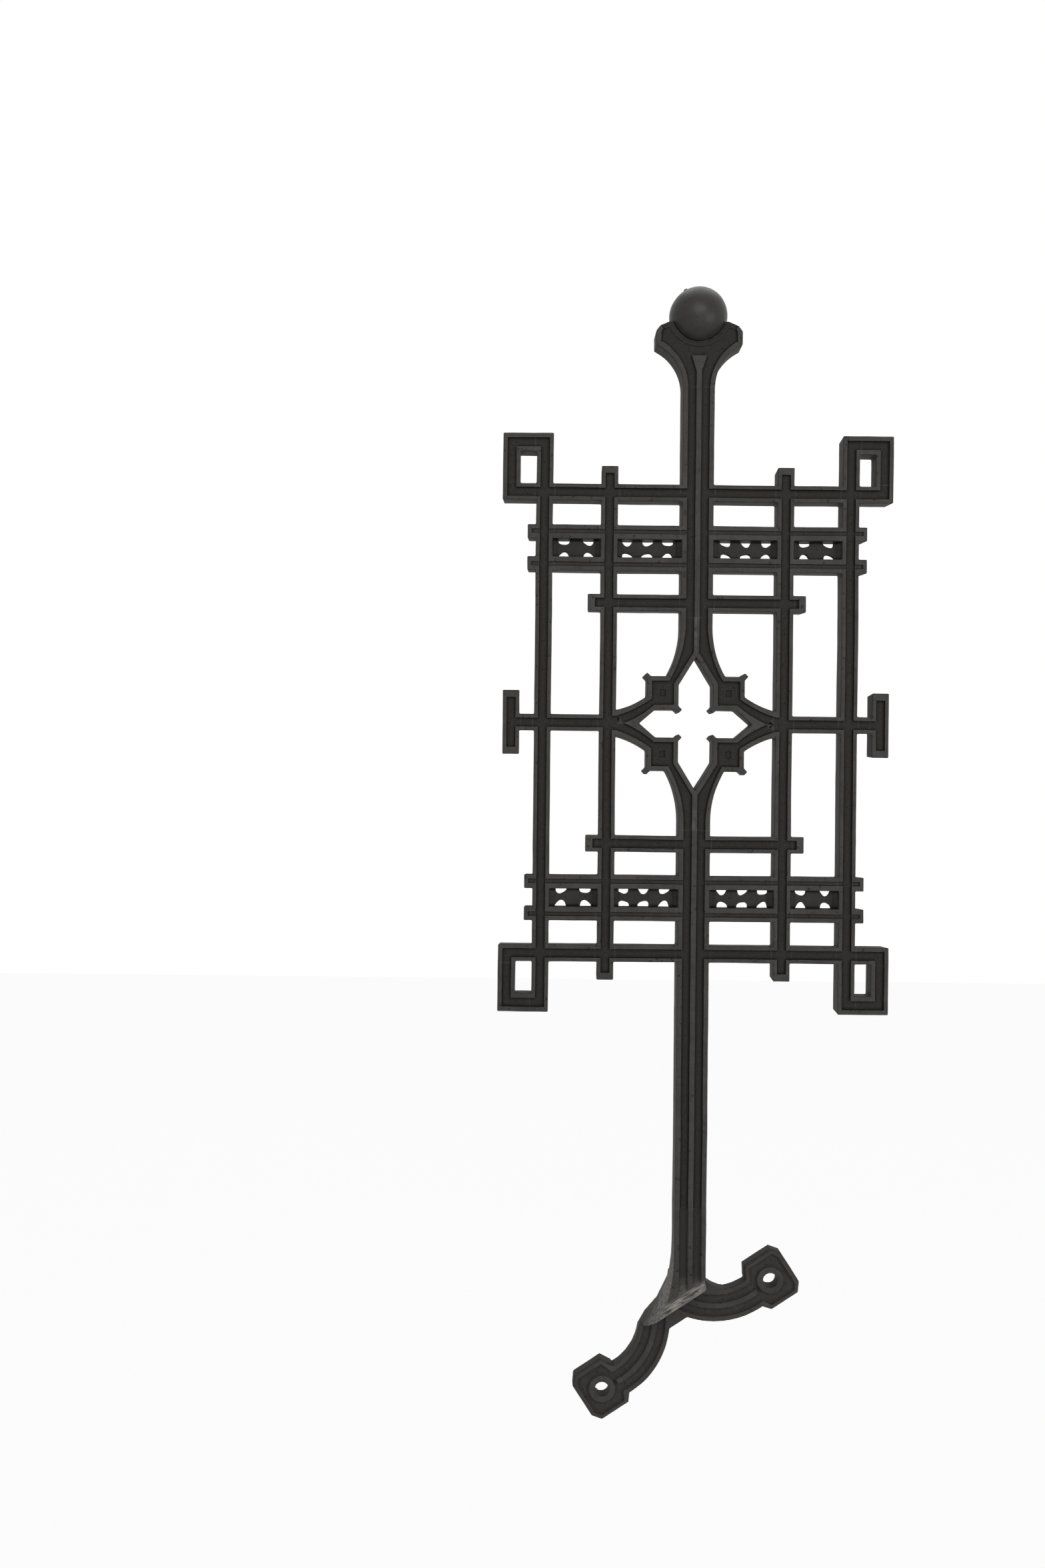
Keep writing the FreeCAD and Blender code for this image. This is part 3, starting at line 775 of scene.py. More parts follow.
        def sunk(face: bmesh.types.BMFace, rects: list[Rect]) -> bool:
            middle = face.calc_center_median()
            if face.normal.y > -0.9 or middle.y > -s.stand * MM - MM:
                return False
            if face.material_index == Mark.SUNK.value:
                return rects is grooves
            return any(rect.holds(*s.spot(middle)) for rect in rects)

        Bench.pick_faces(panel, lambda face: sunk(face, grooves) or sunk(face, slots))
        bpy.ops.mesh.extrude_region_move(TRANSFORM_OT_translate={"value": (0, s.slot * MM, 0)})
        Bench.pick_faces(panel, lambda face: sunk(face, grooves))
        bpy.ops.mesh.extrude_region_move(TRANSFORM_OT_translate={"value": (0, (s.groove - s.slot) * MM, 0)})
        self.sink_pellets(panel)
        self.round_edges(panel)
        return panel

    def lean(self, panel: bpy.types.Object) -> None:
        """Make the bars narrower at the back, as a pattern is so that it draws from the sand."""
        s = self.sizes
        across, up = self.edge_lines()
        back = -s.stand * MM
        for lines, axis, centre in ((across, 0, s.centre_x), (up, 2, s.centre_z)):
            for place, way in lines.items():
                here = (place + centre) * MM

                def on_line(point: Vector, axis: int = axis, here: float = here) -> bool:
                    return abs(point[axis] - here) < 10 * TOUCH and abs(point.y - back) < 10 * TOUCH

                Bench.pick_verts(panel, on_line)
                move = Vector((0, 0, 0))
                move[axis] = way * s.draft * MM
                bpy.ops.transform.translate(value=move)

    def sink_pellets(self, panel: bpy.types.Object) -> None:
        """Press the small square mark into the middle of each boss."""
        s, a = self.sizes, self.arm
        x, z = (a.in_x + a.out_x) / 2, (a.in_z + a.out_z) / 2
        mark = Rect(x - a.pellet_w / 2, x + a.pellet_w / 2, z - a.pellet_h / 2, z + a.pellet_h / 2)
        floor_y = (s.front + s.groove) * MM

        def on_floor(face: bmesh.types.BMFace) -> bool:
            middle = face.calc_center_median()
            spot = s.spot(middle)
            return (abs(middle.y - floor_y) < 10 * TOUCH and face.normal.y < -0.9
                    and abs(spot[0]) < s.inner_x and abs(spot[1]) < s.split_z)

        for side in (1, -1):
            for value in (mark.x0, mark.x1):
                Bench.pick_faces(panel, on_floor)
                Bench.cut_selected(s.place(side * value, 0), Vector((1, 0, 0)))
            for value in (mark.z0, mark.z1):
                Bench.pick_faces(panel, on_floor)
                Bench.cut_selected(s.place(0, side * value), Vector((0, 0, 1)))
        marks = self.in_quarters([mark])
        Bench.pick_faces(panel, lambda face: on_floor(face) and any(
            rect.holds(*s.spot(face.calc_center_median())) for rect in marks))
        bpy.ops.mesh.extrude_region_move(TRANSFORM_OT_translate={"value": (0, a.pellet_depth * MM, 0)})

    def round_edges(self, panel: bpy.types.Object) -> None:
        """Round every sharp edge: the bars fully, and a groove by a share of its depth."""
        Bench.edit(panel, "EDGE")
        mesh = bmesh.from_edit_mesh(panel.data)
        weight = mesh.edges.layers.float.get("bevel_weight_edge") or mesh.edges.layers.float.new(
            "bevel_weight_edge")
        for edge in mesh.edges:
            edge[weight] = 0.0
            if len(edge.link_faces) != 2 or edge.calc_face_angle(0.0) < math.radians(25):
                continue
            hollow = edge.calc_face_angle_signed(0.0) < 0
            if hollow and any(abs(face.normal.y) > 0.5 for face in edge.link_faces):
                continue
            heights = []
            for face in edge.link_faces:
                if abs(face.normal.y) < 0.5:
                    ys = [vert.co.y for vert in face.verts]
                    heights.append((max(ys) - min(ys)) / MM)
            if heights:
                edge[weight] = min(1.0, self.groove_round_share * min(heights) / self.edge_round)
        bmesh.update_edit_mesh(panel.data)
        bpy.ops.object.mode_set(mode="OBJECT")
        Bench.modify(panel, "BEVEL", width=self.edge_round * MM, segments=2, limit_method="WEIGHT",
                     use_clamp_overlap=False, loop_slide=True)
        Bench.edit(panel, "FACE")
        bpy.ops.mesh.select_all(action="SELECT")
        bpy.ops.mesh.remove_doubles(threshold=5 * TOUCH)
        bpy.ops.object.mode_set(mode="OBJECT")


def layout_material(mark: Mark) -> bpy.types.Material:
    """A plain material that only marks the faces of the layout."""
    name = "layout_" + mark.name.lower()
    return bpy.data.materials.get(name) or bpy.data.materials.new(name)


@dataclass
class Divider:
    """Divides the panel's skin into its pieces, just outside the joints of the bars."""

    panel: Panel = field(default_factory=Panel)
    cast: Cast = field(default_factory=Cast)

    def seams(self) -> tuple[list[float], list[float]]:
        """Places of the upright and of the level seams."""
        s, gap = self.panel.sizes, self.panel.seam_gap
        half = s.bar / 2 + gap
        across = {0.0, s.tee_x - half, s.stem_half + gap}
        for x in (s.outer_x, s.inner_x):
            across |= {x - half, x + half}
        up = {0.0, s.split_z, s.rail_z + half}
        xs = sorted({way * x for x in across for way in (1, -1)})
        zs = sorted({way * z for z in up for way in (1, -1)} | {s.cradle_z, s.knee_z})
        return xs, zs

    def cut_lines(self, seams: list[float], low: float, high: float) -> list[float]:
        """The seams with more cuts between them, so that the surface has points to stray by."""
        step = self.panel.step
        ends = [low, *[place for place in seams if low < place < high], high]
        lines = list(seams)
        for start, end in zip(ends, ends[1:]):
            count = int((end - start) / step)
            lines += [start + (end - start) * index / count for index in range(1, count)] if count else []
        return sorted(set(lines))

    def cut(self, skin: bpy.types.Object) -> None:
        """Cut the skin along every seam and at every step."""
        s = self.panel.sizes
        xs, zs = self.seams()
        for x in self.cut_lines(xs, -s.rail_end, s.rail_end):
            Bench.cut_all(skin, s.place(x, 0), Vector((1, 0, 0)))
        for z in self.cut_lines(zs, s.knee_z - s.knee_overlap, self.panel.cradle.seat_z):
            Bench.cut_all(skin, s.place(0, z), Vector((0, 0, 1)))
        Bench.cut_all(skin, s.place(0, 0, s.front + s.depth / 2), Vector((0, 1, 0)))
        bpy.ops.object.mode_set(mode="OBJECT")

    def wanted(self) -> list[tuple[str, Callable[[float, float], bool]]]:
        """The pieces in the order in which they are taken, each with its test of a face's place."""
        s, gap = self.panel.sizes, self.panel.seam_gap
        half = s.bar / 2 + gap
        stem = s.stem_half + gap
        found: list[tuple[str, Callable[[float, float], bool]]] = [
            ("cradle", lambda x, z: z > s.cradle_z),
            ("upper_stem", lambda x, z: abs(x) < stem and z > s.split_z),
            ("lower_stem", lambda x, z: abs(x) < stem and z < -s.split_z),
        ]
        for way, hand in ((-1, "left"), (1, "right")):
            found += [
                (f"outer_upright_{hand}", lambda x, z, way=way: abs(way * x - s.outer_x) < half),
                (f"inner_upright_{hand}", lambda x, z, way=way: abs(way * x - s.inner_x) < half),
                (f"end_tee_{hand}",
                 lambda x, z, way=way: way * x > s.tee_x - half and abs(z) < s.tee_h / 2 + gap),
                (f"middle_rail_{hand}",
                 lambda x, z, way=way: way * x > s.inner_x + half and abs(z) < half),
            ]
            for end, level in ((1, "upper"), (-1, "lower")):
                found += [
                    (f"corner_return_{level}_{hand}",
                     lambda x, z, way=way, end=end: way * x > s.outer_x and end * z > s.rail_z + half),
                    (f"quatrefoil_arm_{level}_{hand}",
                     lambda x, z, way=way, end=end: 0 < way * x < s.inner_x and 0 < end * z < s.split_z),
                ]
        for end, level in ((1, "top"), (-1, "bottom")):
            for kind, place in (("rail", s.rail_z), ("tie_rail", s.tie_z),
                                ("tray_rail_inner", s.tray_inner_z), ("tray_rail_outer", s.tray_outer_z)):
                found.append((f"{level}_{kind}",
                              lambda x, z, end=end, place=place: abs(end * z - place) < half))
        return found

    def divide(self, skin: bpy.types.Object) -> dict[str, bpy.types.Object]:
        """Separate the skin into the pieces.

        Args:
            skin: The panel's skin.

        Returns:
            Each piece under the name of the node that it stands for.
        """
        s = self.panel.sizes
        self.cut(skin)
        Bench.pick_faces(skin, lambda face: s.spot(face.calc_center_median())[1] < s.knee_z)
        bpy.ops.mesh.delete(type="FACE")
        bpy.ops.object.mode_set(mode="OBJECT")
        pieces = {}
        for name, test in self.wanted():
            part = Bench.split_off(skin, "cast_" + name, lambda point, test=test: test(*s.spot(point)))
            if part:
                pieces[name] = part
        if skin.data.polygons:
            LOG.warning("%d faces of the panel belong to no piece", len(skin.data.polygons))
        bpy.data.objects.remove(skin)
        return pieces


@dataclass
class Trays:
    """The sunk floors between the tray rails, with half-moon holes along both sides."""

    sizes: PanelSizes = field(default_factory=PanelSizes)
    sink: float = 4.5
    floor: float = 4.0
    hole_r: float = 3.8
    middle_holes: int = 3
    middle_pitch: float = 13.8
    middle_shift: float = 1.2
    side_holes: int = 2
    side_pitch: float = 16.6
    tuck: float = 0.6
    slope_run: float = 3.4
    slope_rise: float = 3.0
    stray: float = 0.35
    edge_round: float = 0.35

    def bites(self, x: float, z: float, way: int, seed: int) -> list[Spot]:
        """The outline of one half-moon bite into the edge of a floor.

        Args:
            x: Middle of the bite.
            z: Height of the edge.
            way: 1 where the bite cuts upwards from the lower edge, -1 where it cuts downwards.
            seed: Number of the hole, which sets how far it strays from a true half-moon.

        Returns:
            The spots from left to right.
        """
        steps = 14
        spots = []
        for step in range(steps + 1):
            angle = math.pi * step / steps
            radius = self.hole_r + self.stray * math.sin(3 * angle + 1.7 * seed)
            spots.append((x - radius * math.cos(angle), z + way * radius * math.sin(angle)))
        return spots

    def floor_outline(self, low_x: float, high_x: float, centres: list[float], seed: int) -> list[Spot]:
        """Outline of a floor with its bites, in the upper right quarter."""
        s = self.sizes
        low_z = s.tray_inner_z + s.tray_rail / 2
        high_z = s.tray_outer_z - s.tray_rail / 2
        left, right = low_x - self.tuck, high_x + self.tuck
        below: list[Spot] = [(left, low_z - self.tuck)]
        above: list[Spot] = []
        for number, x in enumerate(centres):
            lower = self.bites(x, low_z, 1, seed + number)
            upper = self.bites(x, high_z, -1, seed + number + 5)
            below += [(lower[0][0], low_z - self.tuck), *lower, (lower[-1][0], low_z - self.tuck)]
            above += [(upper[0][0], high_z + self.tuck), *upper, (upper[-1][0], high_z + self.tuck)]
        below.append((right, low_z - self.tuck))
        return below + [(right, high_z + self.tuck)] + above[::-1] + [(left, high_z + self.tuck)]

    def slope(self, x: float, way: int, side: int, end: int) -> bpy.types.Object:
        """The sloping end of a floor, where the metal runs up the upright's wall."""
        s = self.sizes
        floor_y = s.front + self.sink
        low_z = s.tray_inner_z + s.tray_rail / 2 - self.tuck
        high_z = s.tray_outer_z - s.tray_rail / 2 + self.tuck
        wall = x - way * self.tuck
        deep = floor_y + self.floor / 2
        edge = [(wall, floor_y - self.slope_rise), (x, floor_y - self.slope_rise),
                (x + way * self.slope_run, floor_y), (x + way * self.slope_run, deep), (wall, deep)]
        obj = Bench.outline("slope", [s.place(side * px, end * low_z, y) for px, y in edge])
        return Bench.extruded(obj, Vector((0, 0, end * (high_z - low_z) * MM)))

    def tray(self, name: str, low_x: float, high_x: float, centres: list[float], side: int, end: int,
             seed: int) -> bpy.types.Object:
        """One tray, closed and rounded."""
        s = self.sizes
        spots = self.floor_outline(low_x, high_x, centres, seed)
        front_y = s.front + self.sink
        flat = Bench.outline(name, [s.place(side * x, end * z, front_y) for x, z in spots])
        plate = Bench.extruded(flat, Vector((0, self.floor * MM, 0)))
        Bench.combined(plate, [self.slope(low_x, 1, side, end), self.slope(high_x, -1, side, end)], "UNION")
        Bench.modify(plate, "BEVEL", width=self.edge_round * MM, segments=2, limit_method="ANGLE",
                     angle_limit=math.radians(40), use_clamp_overlap=True)
        return plate

    def build(self) -> dict[str, bpy.types.Object]:
        """All eight trays, under the names of their nodes."""
        s = self.sizes
        half = s.bar / 2
        spans = (("middle", s.stem_half, s.inner_x - half, self.middle_holes, self.middle_pitch,
                  self.middle_shift),
                 ("side", s.inner_x + half, s.outer_x - half, self.side_holes, self.side_pitch, 0.0))
        trays = {}
        for seed, (side, end) in enumerate(QUARTERS):
            quarter = ("upper" if end > 0 else "lower") + ("_right" if side > 0 else "_left")
            for kind, low_x, high_x, count, pitch, shift in spans:
                middle = (low_x + high_x) / 2 + shift
                centres = [middle + (number - (count - 1) / 2) * pitch for number in range(count)]
                name = f"{kind}_tray_{quarter}"
                trays[name] = self.tray("cast_" + name, low_x, high_x, centres, side, end, 3 * seed + count)
        return trays


@dataclass
class Ball:
    """The ball on its spigot, with the stump of the gate that the iron was poured through."""

    sizes: PanelSizes = field(default_factory=PanelSizes)
    cradle: CradleSizes = field(default_factory=CradleSizes)
    around: int = 96
    rings: int = 48
    cap_deg: float = 13.0
    stump_x: float = -8.7
    stump_z: float = 17.5
    stump_r: float = 1.7
    stump_rise: float = 1.1

    def seat(self, cradle: bpy.types.Object) -> None:
        """Hollow the cradle out where the ball and its spigot sit."""
        s, c = self.sizes, self.cradle
        centre = s.place(0, c.ball_z, s.front + s.depth / 2)
        Bench.clear()
        bpy.ops.mesh.primitive_uv_sphere_add(segments=self.around, ring_count=self.rings,
                                             radius=(c.ball_r + c.seat_gap) * MM, location=centre)
        hollow = bpy.context.object
        length = c.ball_r + c.spigot_len
        bpy.ops.mesh.primitive_cylinder_add(vertices=32, radius=(c.spigot_r + c.spigot_gap) * MM,
                                            depth=length * MM,
                                            location=centre - Vector((0, 0, length / 2)) * MM)
        Bench.combined(cradle, [hollow, bpy.context.object], "DIFFERENCE")
        Bench.edit(cradle, "VERT")
        bpy.ops.mesh.select_all(action="SELECT")
        bpy.ops.mesh.remove_doubles(threshold=10 * TOUCH)
        bpy.ops.mesh.select_all(action="SELECT")
        bpy.ops.mesh.dissolve_degenerate(threshold=10 * TOUCH)
        bpy.ops.object.mode_set(mode="OBJECT")

    def build(self) -> bpy.types.Object:
        """The ball as one closed piece."""
        s, c = self.sizes, self.cradle
        centre = s.place(0, c.ball_z, s.front + s.depth / 2)
        Bench.clear()
        bpy.ops.mesh.primitive_uv_sphere_add(segments=self.around, ring_count=self.rings,
                                             radius=c.ball_r * MM, location=centre)
        ball = bpy.context.object
        ball.name = "cast_finial_ball"
        bpy.ops.object.transform_apply(location=True, rotation=True, scale=True)
        cap_z = centre.z - c.ball_r * MM * math.cos(math.radians(self.cap_deg))
        Bench.pick_faces(ball, lambda face: face.calc_center_median().z < cap_z)
        bpy.ops.mesh.extrude_region_move(TRANSFORM_OT_translate={"value": (0, 0, -c.spigot_len * MM)})
        bpy.ops.transform.resize(value=(1, 1, 0), center_override=centre - Vector((0, 0, 1)) * (
            c.ball_r + c.spigot_len - 0.2) * MM)
        way = Vector((self.stump_x, 0, self.stump_z)).normalized()
        mark = centre + way * c.ball_r * MM
        Bench.pick_faces(ball, lambda face: (face.calc_center_median() - mark).length < self.stump_r * MM)
        bpy.ops.mesh.inset(thickness=0.3 * MM, depth=self.stump_rise * MM)
        bpy.ops.object.mode_set(mode="OBJECT")
        return ball


@dataclass(frozen=True)
class FootSizes:
    """Sizes of the forked foot, along the pitch line (u) and square to it (n)."""

    pitch_deg: float = 33.5
    stem_x: float = -3.5
    stem_half: float = 10.7
    front: float = -51.0
    stem_depth: float = 16.0
    plate: float = 10.0
    groove: float = 1.6
    hole_half: float = 71.05
    hole_r: float = 5.0
    ring_r: float = 9.5
    leg: float = 22.0
    centre_u: float = 54.8
    centre_n: float = 47.896
    out_r: float = 60.596
    crotch_half: float = 7.5
    rim: float = 3.4
    mid_rim: float = 4.0
    left_start: float = 24.0
    right_start: float = 40.0
    pad_in: float = 56.0
    pad_shoulder: float = 60.5
    pad_tip: float = 83.0
    pad_out: float = 87.7
    pad_half: float = 18.6
    pad_tip_n: float = 12.5
    pad_low: float = -13.2
    pad_high: float = 11.0
    pad_chamfer: float = 2.0
    field_slant: float = 1.7
    field_tip: float = 1.36
    back_n: float = 80.0
    back_r: float = 40.0
    nose_n: float = 43.0
    nose_bow: float = 1.5
    ridge_n: float = 34.5
    ridge_in: float = 5.5
    root_n: float = 25.0
    under_rise: float = 2.5
    top_z: float = 103.2
    overshoot: float = 6.0
    flare_z: float = 67.2
    flare_out: float = 7.4
    flare_drop: float = 38.0
    flare_bow: float = 1.6
    heel_z: float = 46.2
    heel_bow: float = 3.0
    groove_n: float = 40.0
    stem_rim: float = 3.35
    stem_mid: float = 3.6
    voxel: float = 0.6
    over: float = 1.0
    plate_seam_n: float = 30.0

    def turned(self, u: float, n: float) -> Spot:
        """A spot of the foot as x and z from the origin."""
        angle = math.radians(self.pitch_deg)
        return (u * math.cos(angle) - n * math.sin(angle), u * math.sin(angle) + n * math.cos(angle))

    def pitch_z(self, x: float, n: float) -> float:
        """The height, at x, of the line that runs up the pitch at n."""
        angle = math.radians(self.pitch_deg)
        return (n + x * math.sin(angle)) / math.cos(angle)

    def level(self, point: Vector) -> Spot:
        """A point of the part's frame as u and n."""
        angle = math.radians(self.pitch_deg)
        x, z = point.x / MM, point.z / MM
        return (x * math.cos(angle) + z * math.sin(angle), -x * math.sin(angle) + z * math.cos(angle))

    def edge_n(self, u: float, radius: float) -> float:
        """How high a leg's curve of this radius stands at a place along the pitch."""
        return self.centre_n - math.sqrt(max(0.0, radius ** 2 - (self.centre_u - u) ** 2))


@dataclass
class Foot:
    """The stem's end swept back to the wall, the crotch plate, two curved legs and two screw pads."""

    sizes: FootSizes = field(default_factory=FootSizes)

    def block(self, spots: Sequence[Spot], front: float, depth: float) -> bpy.types.Object:
        """A solid with the given outline in x and z, from front to front plus depth."""
        flat = Bench.outline("foot", [Vector((x, front, z)) * MM for x, z in spots])
        return Bench.extruded(flat, Vector((0, depth * MM, 0)))

    def level_block(self, spots: Sequence[Spot], front: float, depth: float) -> bpy.types.Object:
        """The same for an outline given along the pitch line and square to it."""
        return self.block([self.sizes.turned(u, n) for u, n in spots], front, depth)

    def curve(self, side: int, radius: float, low: float, high: float, steps: int = 24) -> list[Spot]:
        """Spots along a leg's curve, from one place along the pitch to another."""
        places = [low + (high - low) * step / steps for step in range(steps + 1)]
        return [(side * u, self.sizes.edge_n(u, radius)) for u in places]

    def band(self, side: int, low_r: float, high_r: float, low: float, high: float) -> list[Spot]:
        """Outline between two curves of a leg."""
        return self.curve(side, high_r, low, high) + self.curve(side, low_r, low, high)[::-1]

    def channel(self, side: int, low_r: float, high_r: float, steps: int = 24) -> list[Spot]:
        """Outline of a leg's groove, from under the knee to the field of its pad."""
        f = self.sizes
        rise = f.centre_n - (f.root_n - f.rim)
        reach = f.pad_in + f.rim + f.over / 2 - f.centre_u
        edges = []
        for radius in (high_r, low_r):
            start, end = math.acos(rise / radius), -math.asin(reach / radius)
            angles = [start + (end - start) * step / steps for step in range(steps + 1)]
            edges.append([(side * (f.centre_u - radius * math.sin(angle)), f.centre_n - radius * math.cos(angle))
                          for angle in angles])
        return edges[0] + edges[1][::-1]

    def grooves(self, side: int) -> list[bpy.types.Object]:
        """Cutters for the two grooves of a leg."""
        f = self.sizes
        inner = f.out_r - f.leg
        width = (f.leg - 2 * f.rim - f.mid_rim) / 2
        cutters = []
        for low in (inner + f.rim, inner + f.rim + width + f.mid_rim):
            outline = self.channel(side, low, low + width)
            cutters.append(self.level_block(outline, -f.plate - f.over, f.groove + f.over))
        return cutters

    def leg(self, side: int) -> bpy.types.Object:
        """One curved leg, from under the knee to inside its pad."""
        f = self.sizes
        start = f.left_start if side < 0 else f.right_start
        outline = self.band(side, f.out_r - f.leg, f.out_r, start - f.over, f.pad_in + f.over)
        return self.level_block(outline, -f.plate, f.plate)

    def pad_outline(self, side: int) -> list[Spot]:
        """Outline of a screw pad."""
        f = self.sizes
        spots = [(f.pad_in, f.pad_low), (f.pad_shoulder, -f.pad_half), (f.pad_tip, -f.pad_half),
                 (f.pad_out, -f.pad_tip_n), (f.pad_out, f.pad_tip_n), (f.pad_tip, f.pad_half),
                 (f.pad_shoulder, f.pad_half), (f.pad_in, f.pad_high)]
        return [(side * u, n) for u, n in spots]

    def field_outline(self, side: int) -> list[Spot]:
        """Outline of the sunk field of a screw pad."""
        f = self.sizes
        half = f.pad_half - f.rim
        shoulder, tip, tip_n = f.pad_shoulder + f.field_slant, f.pad_tip - f.field_tip, f.pad_tip_n - f.field_tip
        out = f.pad_out - f.rim
        spots = [(f.pad_in + f.rim, f.pad_low + f.rim), (shoulder, -half), (tip, -half), (out, -tip_n),
                 (out, tip_n), (tip, half), (shoulder, half), (f.pad_in + f.rim, f.pad_high - f.rim)]
        return [(side * u, n) for u, n in spots]

    def rod(self, u: float, radius: float, front: float, depth: float) -> bpy.types.Object:
        """A round bar square to the wall."""
        f = self.sizes
        x, z = f.turned(u, 0)
        Bench.clear()
        bpy.ops.mesh.primitive_cylinder_add(vertices=64, radius=radius * MM, depth=depth * MM,
                                            location=Vector((x, front + depth / 2, z)) * MM,
                                            rotation=(math.pi / 2, 0, 0))
        bpy.ops.object.transform_apply(location=True, rotation=True, scale=True)
        return bpy.context.object

    def pad(self, side: int) -> bpy.types.Object:
        """One screw pad with its chamfered edge, sunk field and the ring round its hole."""
        f = self.sizes
        pad = self.level_block(self.pad_outline(side), -f.plate, f.plate)
        Bench.edit(pad, "EDGE")
        mesh = bmesh.from_edit_mesh(pad.data)
        weight = mesh.edges.layers.float.new("bevel_weight_edge")
        for edge in mesh.edges:
            on_front = all(abs(vert.co.y + f.plate * MM) < TOUCH for vert in edge.verts)
            inner = all(abs(abs(f.level(vert.co)[0]) - f.pad_in) < 0.01 for vert in edge.verts)
            edge[weight] = 1.0 if on_front and not inner else 0.0
        bmesh.update_edit_mesh(pad.data)
        bpy.ops.object.mode_set(mode="OBJECT")
        Bench.modify(pad, "BEVEL", width=f.pad_chamfer * MM, segments=1, limit_method="WEIGHT")
        field_cutter = self.level_block(self.field_outline(side), -f.plate - f.over, f.groove + f.over)
        ring = self.rod(side * f.hole_half, f.ring_r, -f.plate - 2 * f.over, f.plate)
        Bench.combined(field_cutter, [ring], "DIFFERENCE")
        Bench.combined(pad, [field_cutter], "DIFFERENCE")
        return pad

    def outline(self) -> list[Spot]:
        """Outline of the knee and the middle of the foot, seen from the front."""
        f = self.sizes
        left, right = f.stem_x - f.stem_half, f.stem_x + f.stem_half
        inner = f.out_r - f.leg
        top = f.top_z + f.overshoot
        low_left = f.turned(-f.left_start, f.edge_n(f.left_start, inner))
        low_right = f.turned(f.right_start, f.edge_n(f.right_start, inner))
        corners = [(left, top), (left, f.flare_z), (f.flare_bow, left - f.flare_out, f.flare_z - f.flare_drop),
                   (f.flare_bow, *low_left), f.turned(-f.left_start, -f.leg), f.turned(f.right_start, -f.leg),
                   low_right, (f.heel_bow, right, f.heel_z), (right, top)]
        return run(corners, 12)

    def profile(self) -> list[Spot]:
        """Side view of the knee as n and y: square to the pitch line, and the depth."""
        f = self.sizes
        back = f.front + f.stem_depth
        sweep = -back - f.plate
        turn = math.acos(1 - sweep / f.back_r)
        steps = 12
        far = 2 * f.back_n
        spots = [(far, f.front), (far, back)]
        for step in range(steps + 1):
            angle = turn * step / steps
            spots.append((f.back_n - f.back_r * math.sin(angle), back + f.back_r * (1 - math.cos(angle))))
        spots.append((f.root_n, -f.plate))
        ridge_y = f.front + f.ridge_in
        spots += arc_spots((f.root_n, -f.plate), (f.ridge_n, ridge_y), -f.under_rise, 8)
        spots += arc_spots((f.ridge_n, ridge_y), (f.nose_n, f.front), f.nose_bow, 8)
        return spots

    def knee(self) -> bpy.types.Object:
        """The knee: the front outline kept only where the swept side view also has metal."""
        f = self.sizes
        body = self.block(self.outline(), f.front, -f.front - f.plate)
        far = 2 * f.back_n
        points = []
        for n, y in self.profile():
            x, z = f.turned(-far, n)
            points.append(Vector((x, y, z)) * MM)
        dx, dz = f.turned(2 * far, 0)
        prism = Bench.extruded(Bench.outline("sweep", points), Vector((dx, 0, dz)) * MM)
        Bench.combined(body, [prism], "INTERSECT")
        width = f.stem_half - f.stem_rim - f.stem_mid / 2
        for side in (-1, 1):
            middle = f.stem_x + side * (f.stem_mid + width) / 2
            low_x, high_x = middle - width / 2, middle + width / 2
            spots = [(low_x, f.pitch_z(low_x, f.groove_n)), (high_x, f.pitch_z(high_x, f.groove_n)),
                     (high_x, f.top_z + 2 * f.overshoot), (low_x, f.top_z + 2 * f.overshoot)]
            Bench.combined(body, [self.block(spots, f.front - f.over, f.groove + f.over)], "DIFFERENCE")
        return body

    def flank_cutter(self) -> bpy.types.Object:
        """A wedge that takes the knee's left flank in towards the wall."""
        f = self.sizes
        wall = [(-15.6, 75.0), (-11.4, 50.0), (-12.6, 38.8), (-19.9, 23.5), (-29.2, 12.6), (-35.2, 2.0)]
        front = [(-14.6, 75.0), (-15.8, 60.0), (-18.6, 45.0), (-22.5, 29.0), (-29.6, 14.6), (-35.2, 2.0)]
        front_y, wall_y = -40.0, 1.0
        wedge = self.block([(-60.0, 75.0), *wall, (-60.0, 2.0)], wall_y, front_y - wall_y)
        for (x0, z0), (x1, z1) in zip(wall, front):
            here = Vector((x0, front_y, z0)) * MM
            Bench.pick_verts(wedge, lambda point, here=here: (point - here).length < 10 * TOUCH)
            bpy.ops.transform.translate(value=Vector((x1 - x0, 0, z1 - z0)) * MM)
        bpy.ops.object.mode_set(mode="OBJECT")
        return wedge

    def crotch(self) -> bpy.types.Object:
        """The flat middle of the foot against the wall, up to the back of the knee."""
        f = self.sizes
        sweep = -(f.front + f.stem_depth) - f.plate
        top_n = f.back_n - math.sqrt(f.back_r ** 2 - (f.back_r - sweep) ** 2)
        plate = self.block(self.outline(), -f.plate, f.plate)
        reach = 60.0
        under = [(-reach, self.sizes.edge_n(f.centre_u, f.out_r))]
        left = self.curve(-1, f.out_r, f.crotch_half, f.centre_u)[::-1]
        right = self.curve(1, f.out_r, f.crotch_half, f.centre_u)
        window = [(-reach, top_n)] + under + left + right + [(reach, under[0][1]), (reach, top_n)]
        Bench.combined(plate, [self.level_block(window, -f.plate - f.over, f.plate + 2 * f.over)], "INTERSECT")
        return plate

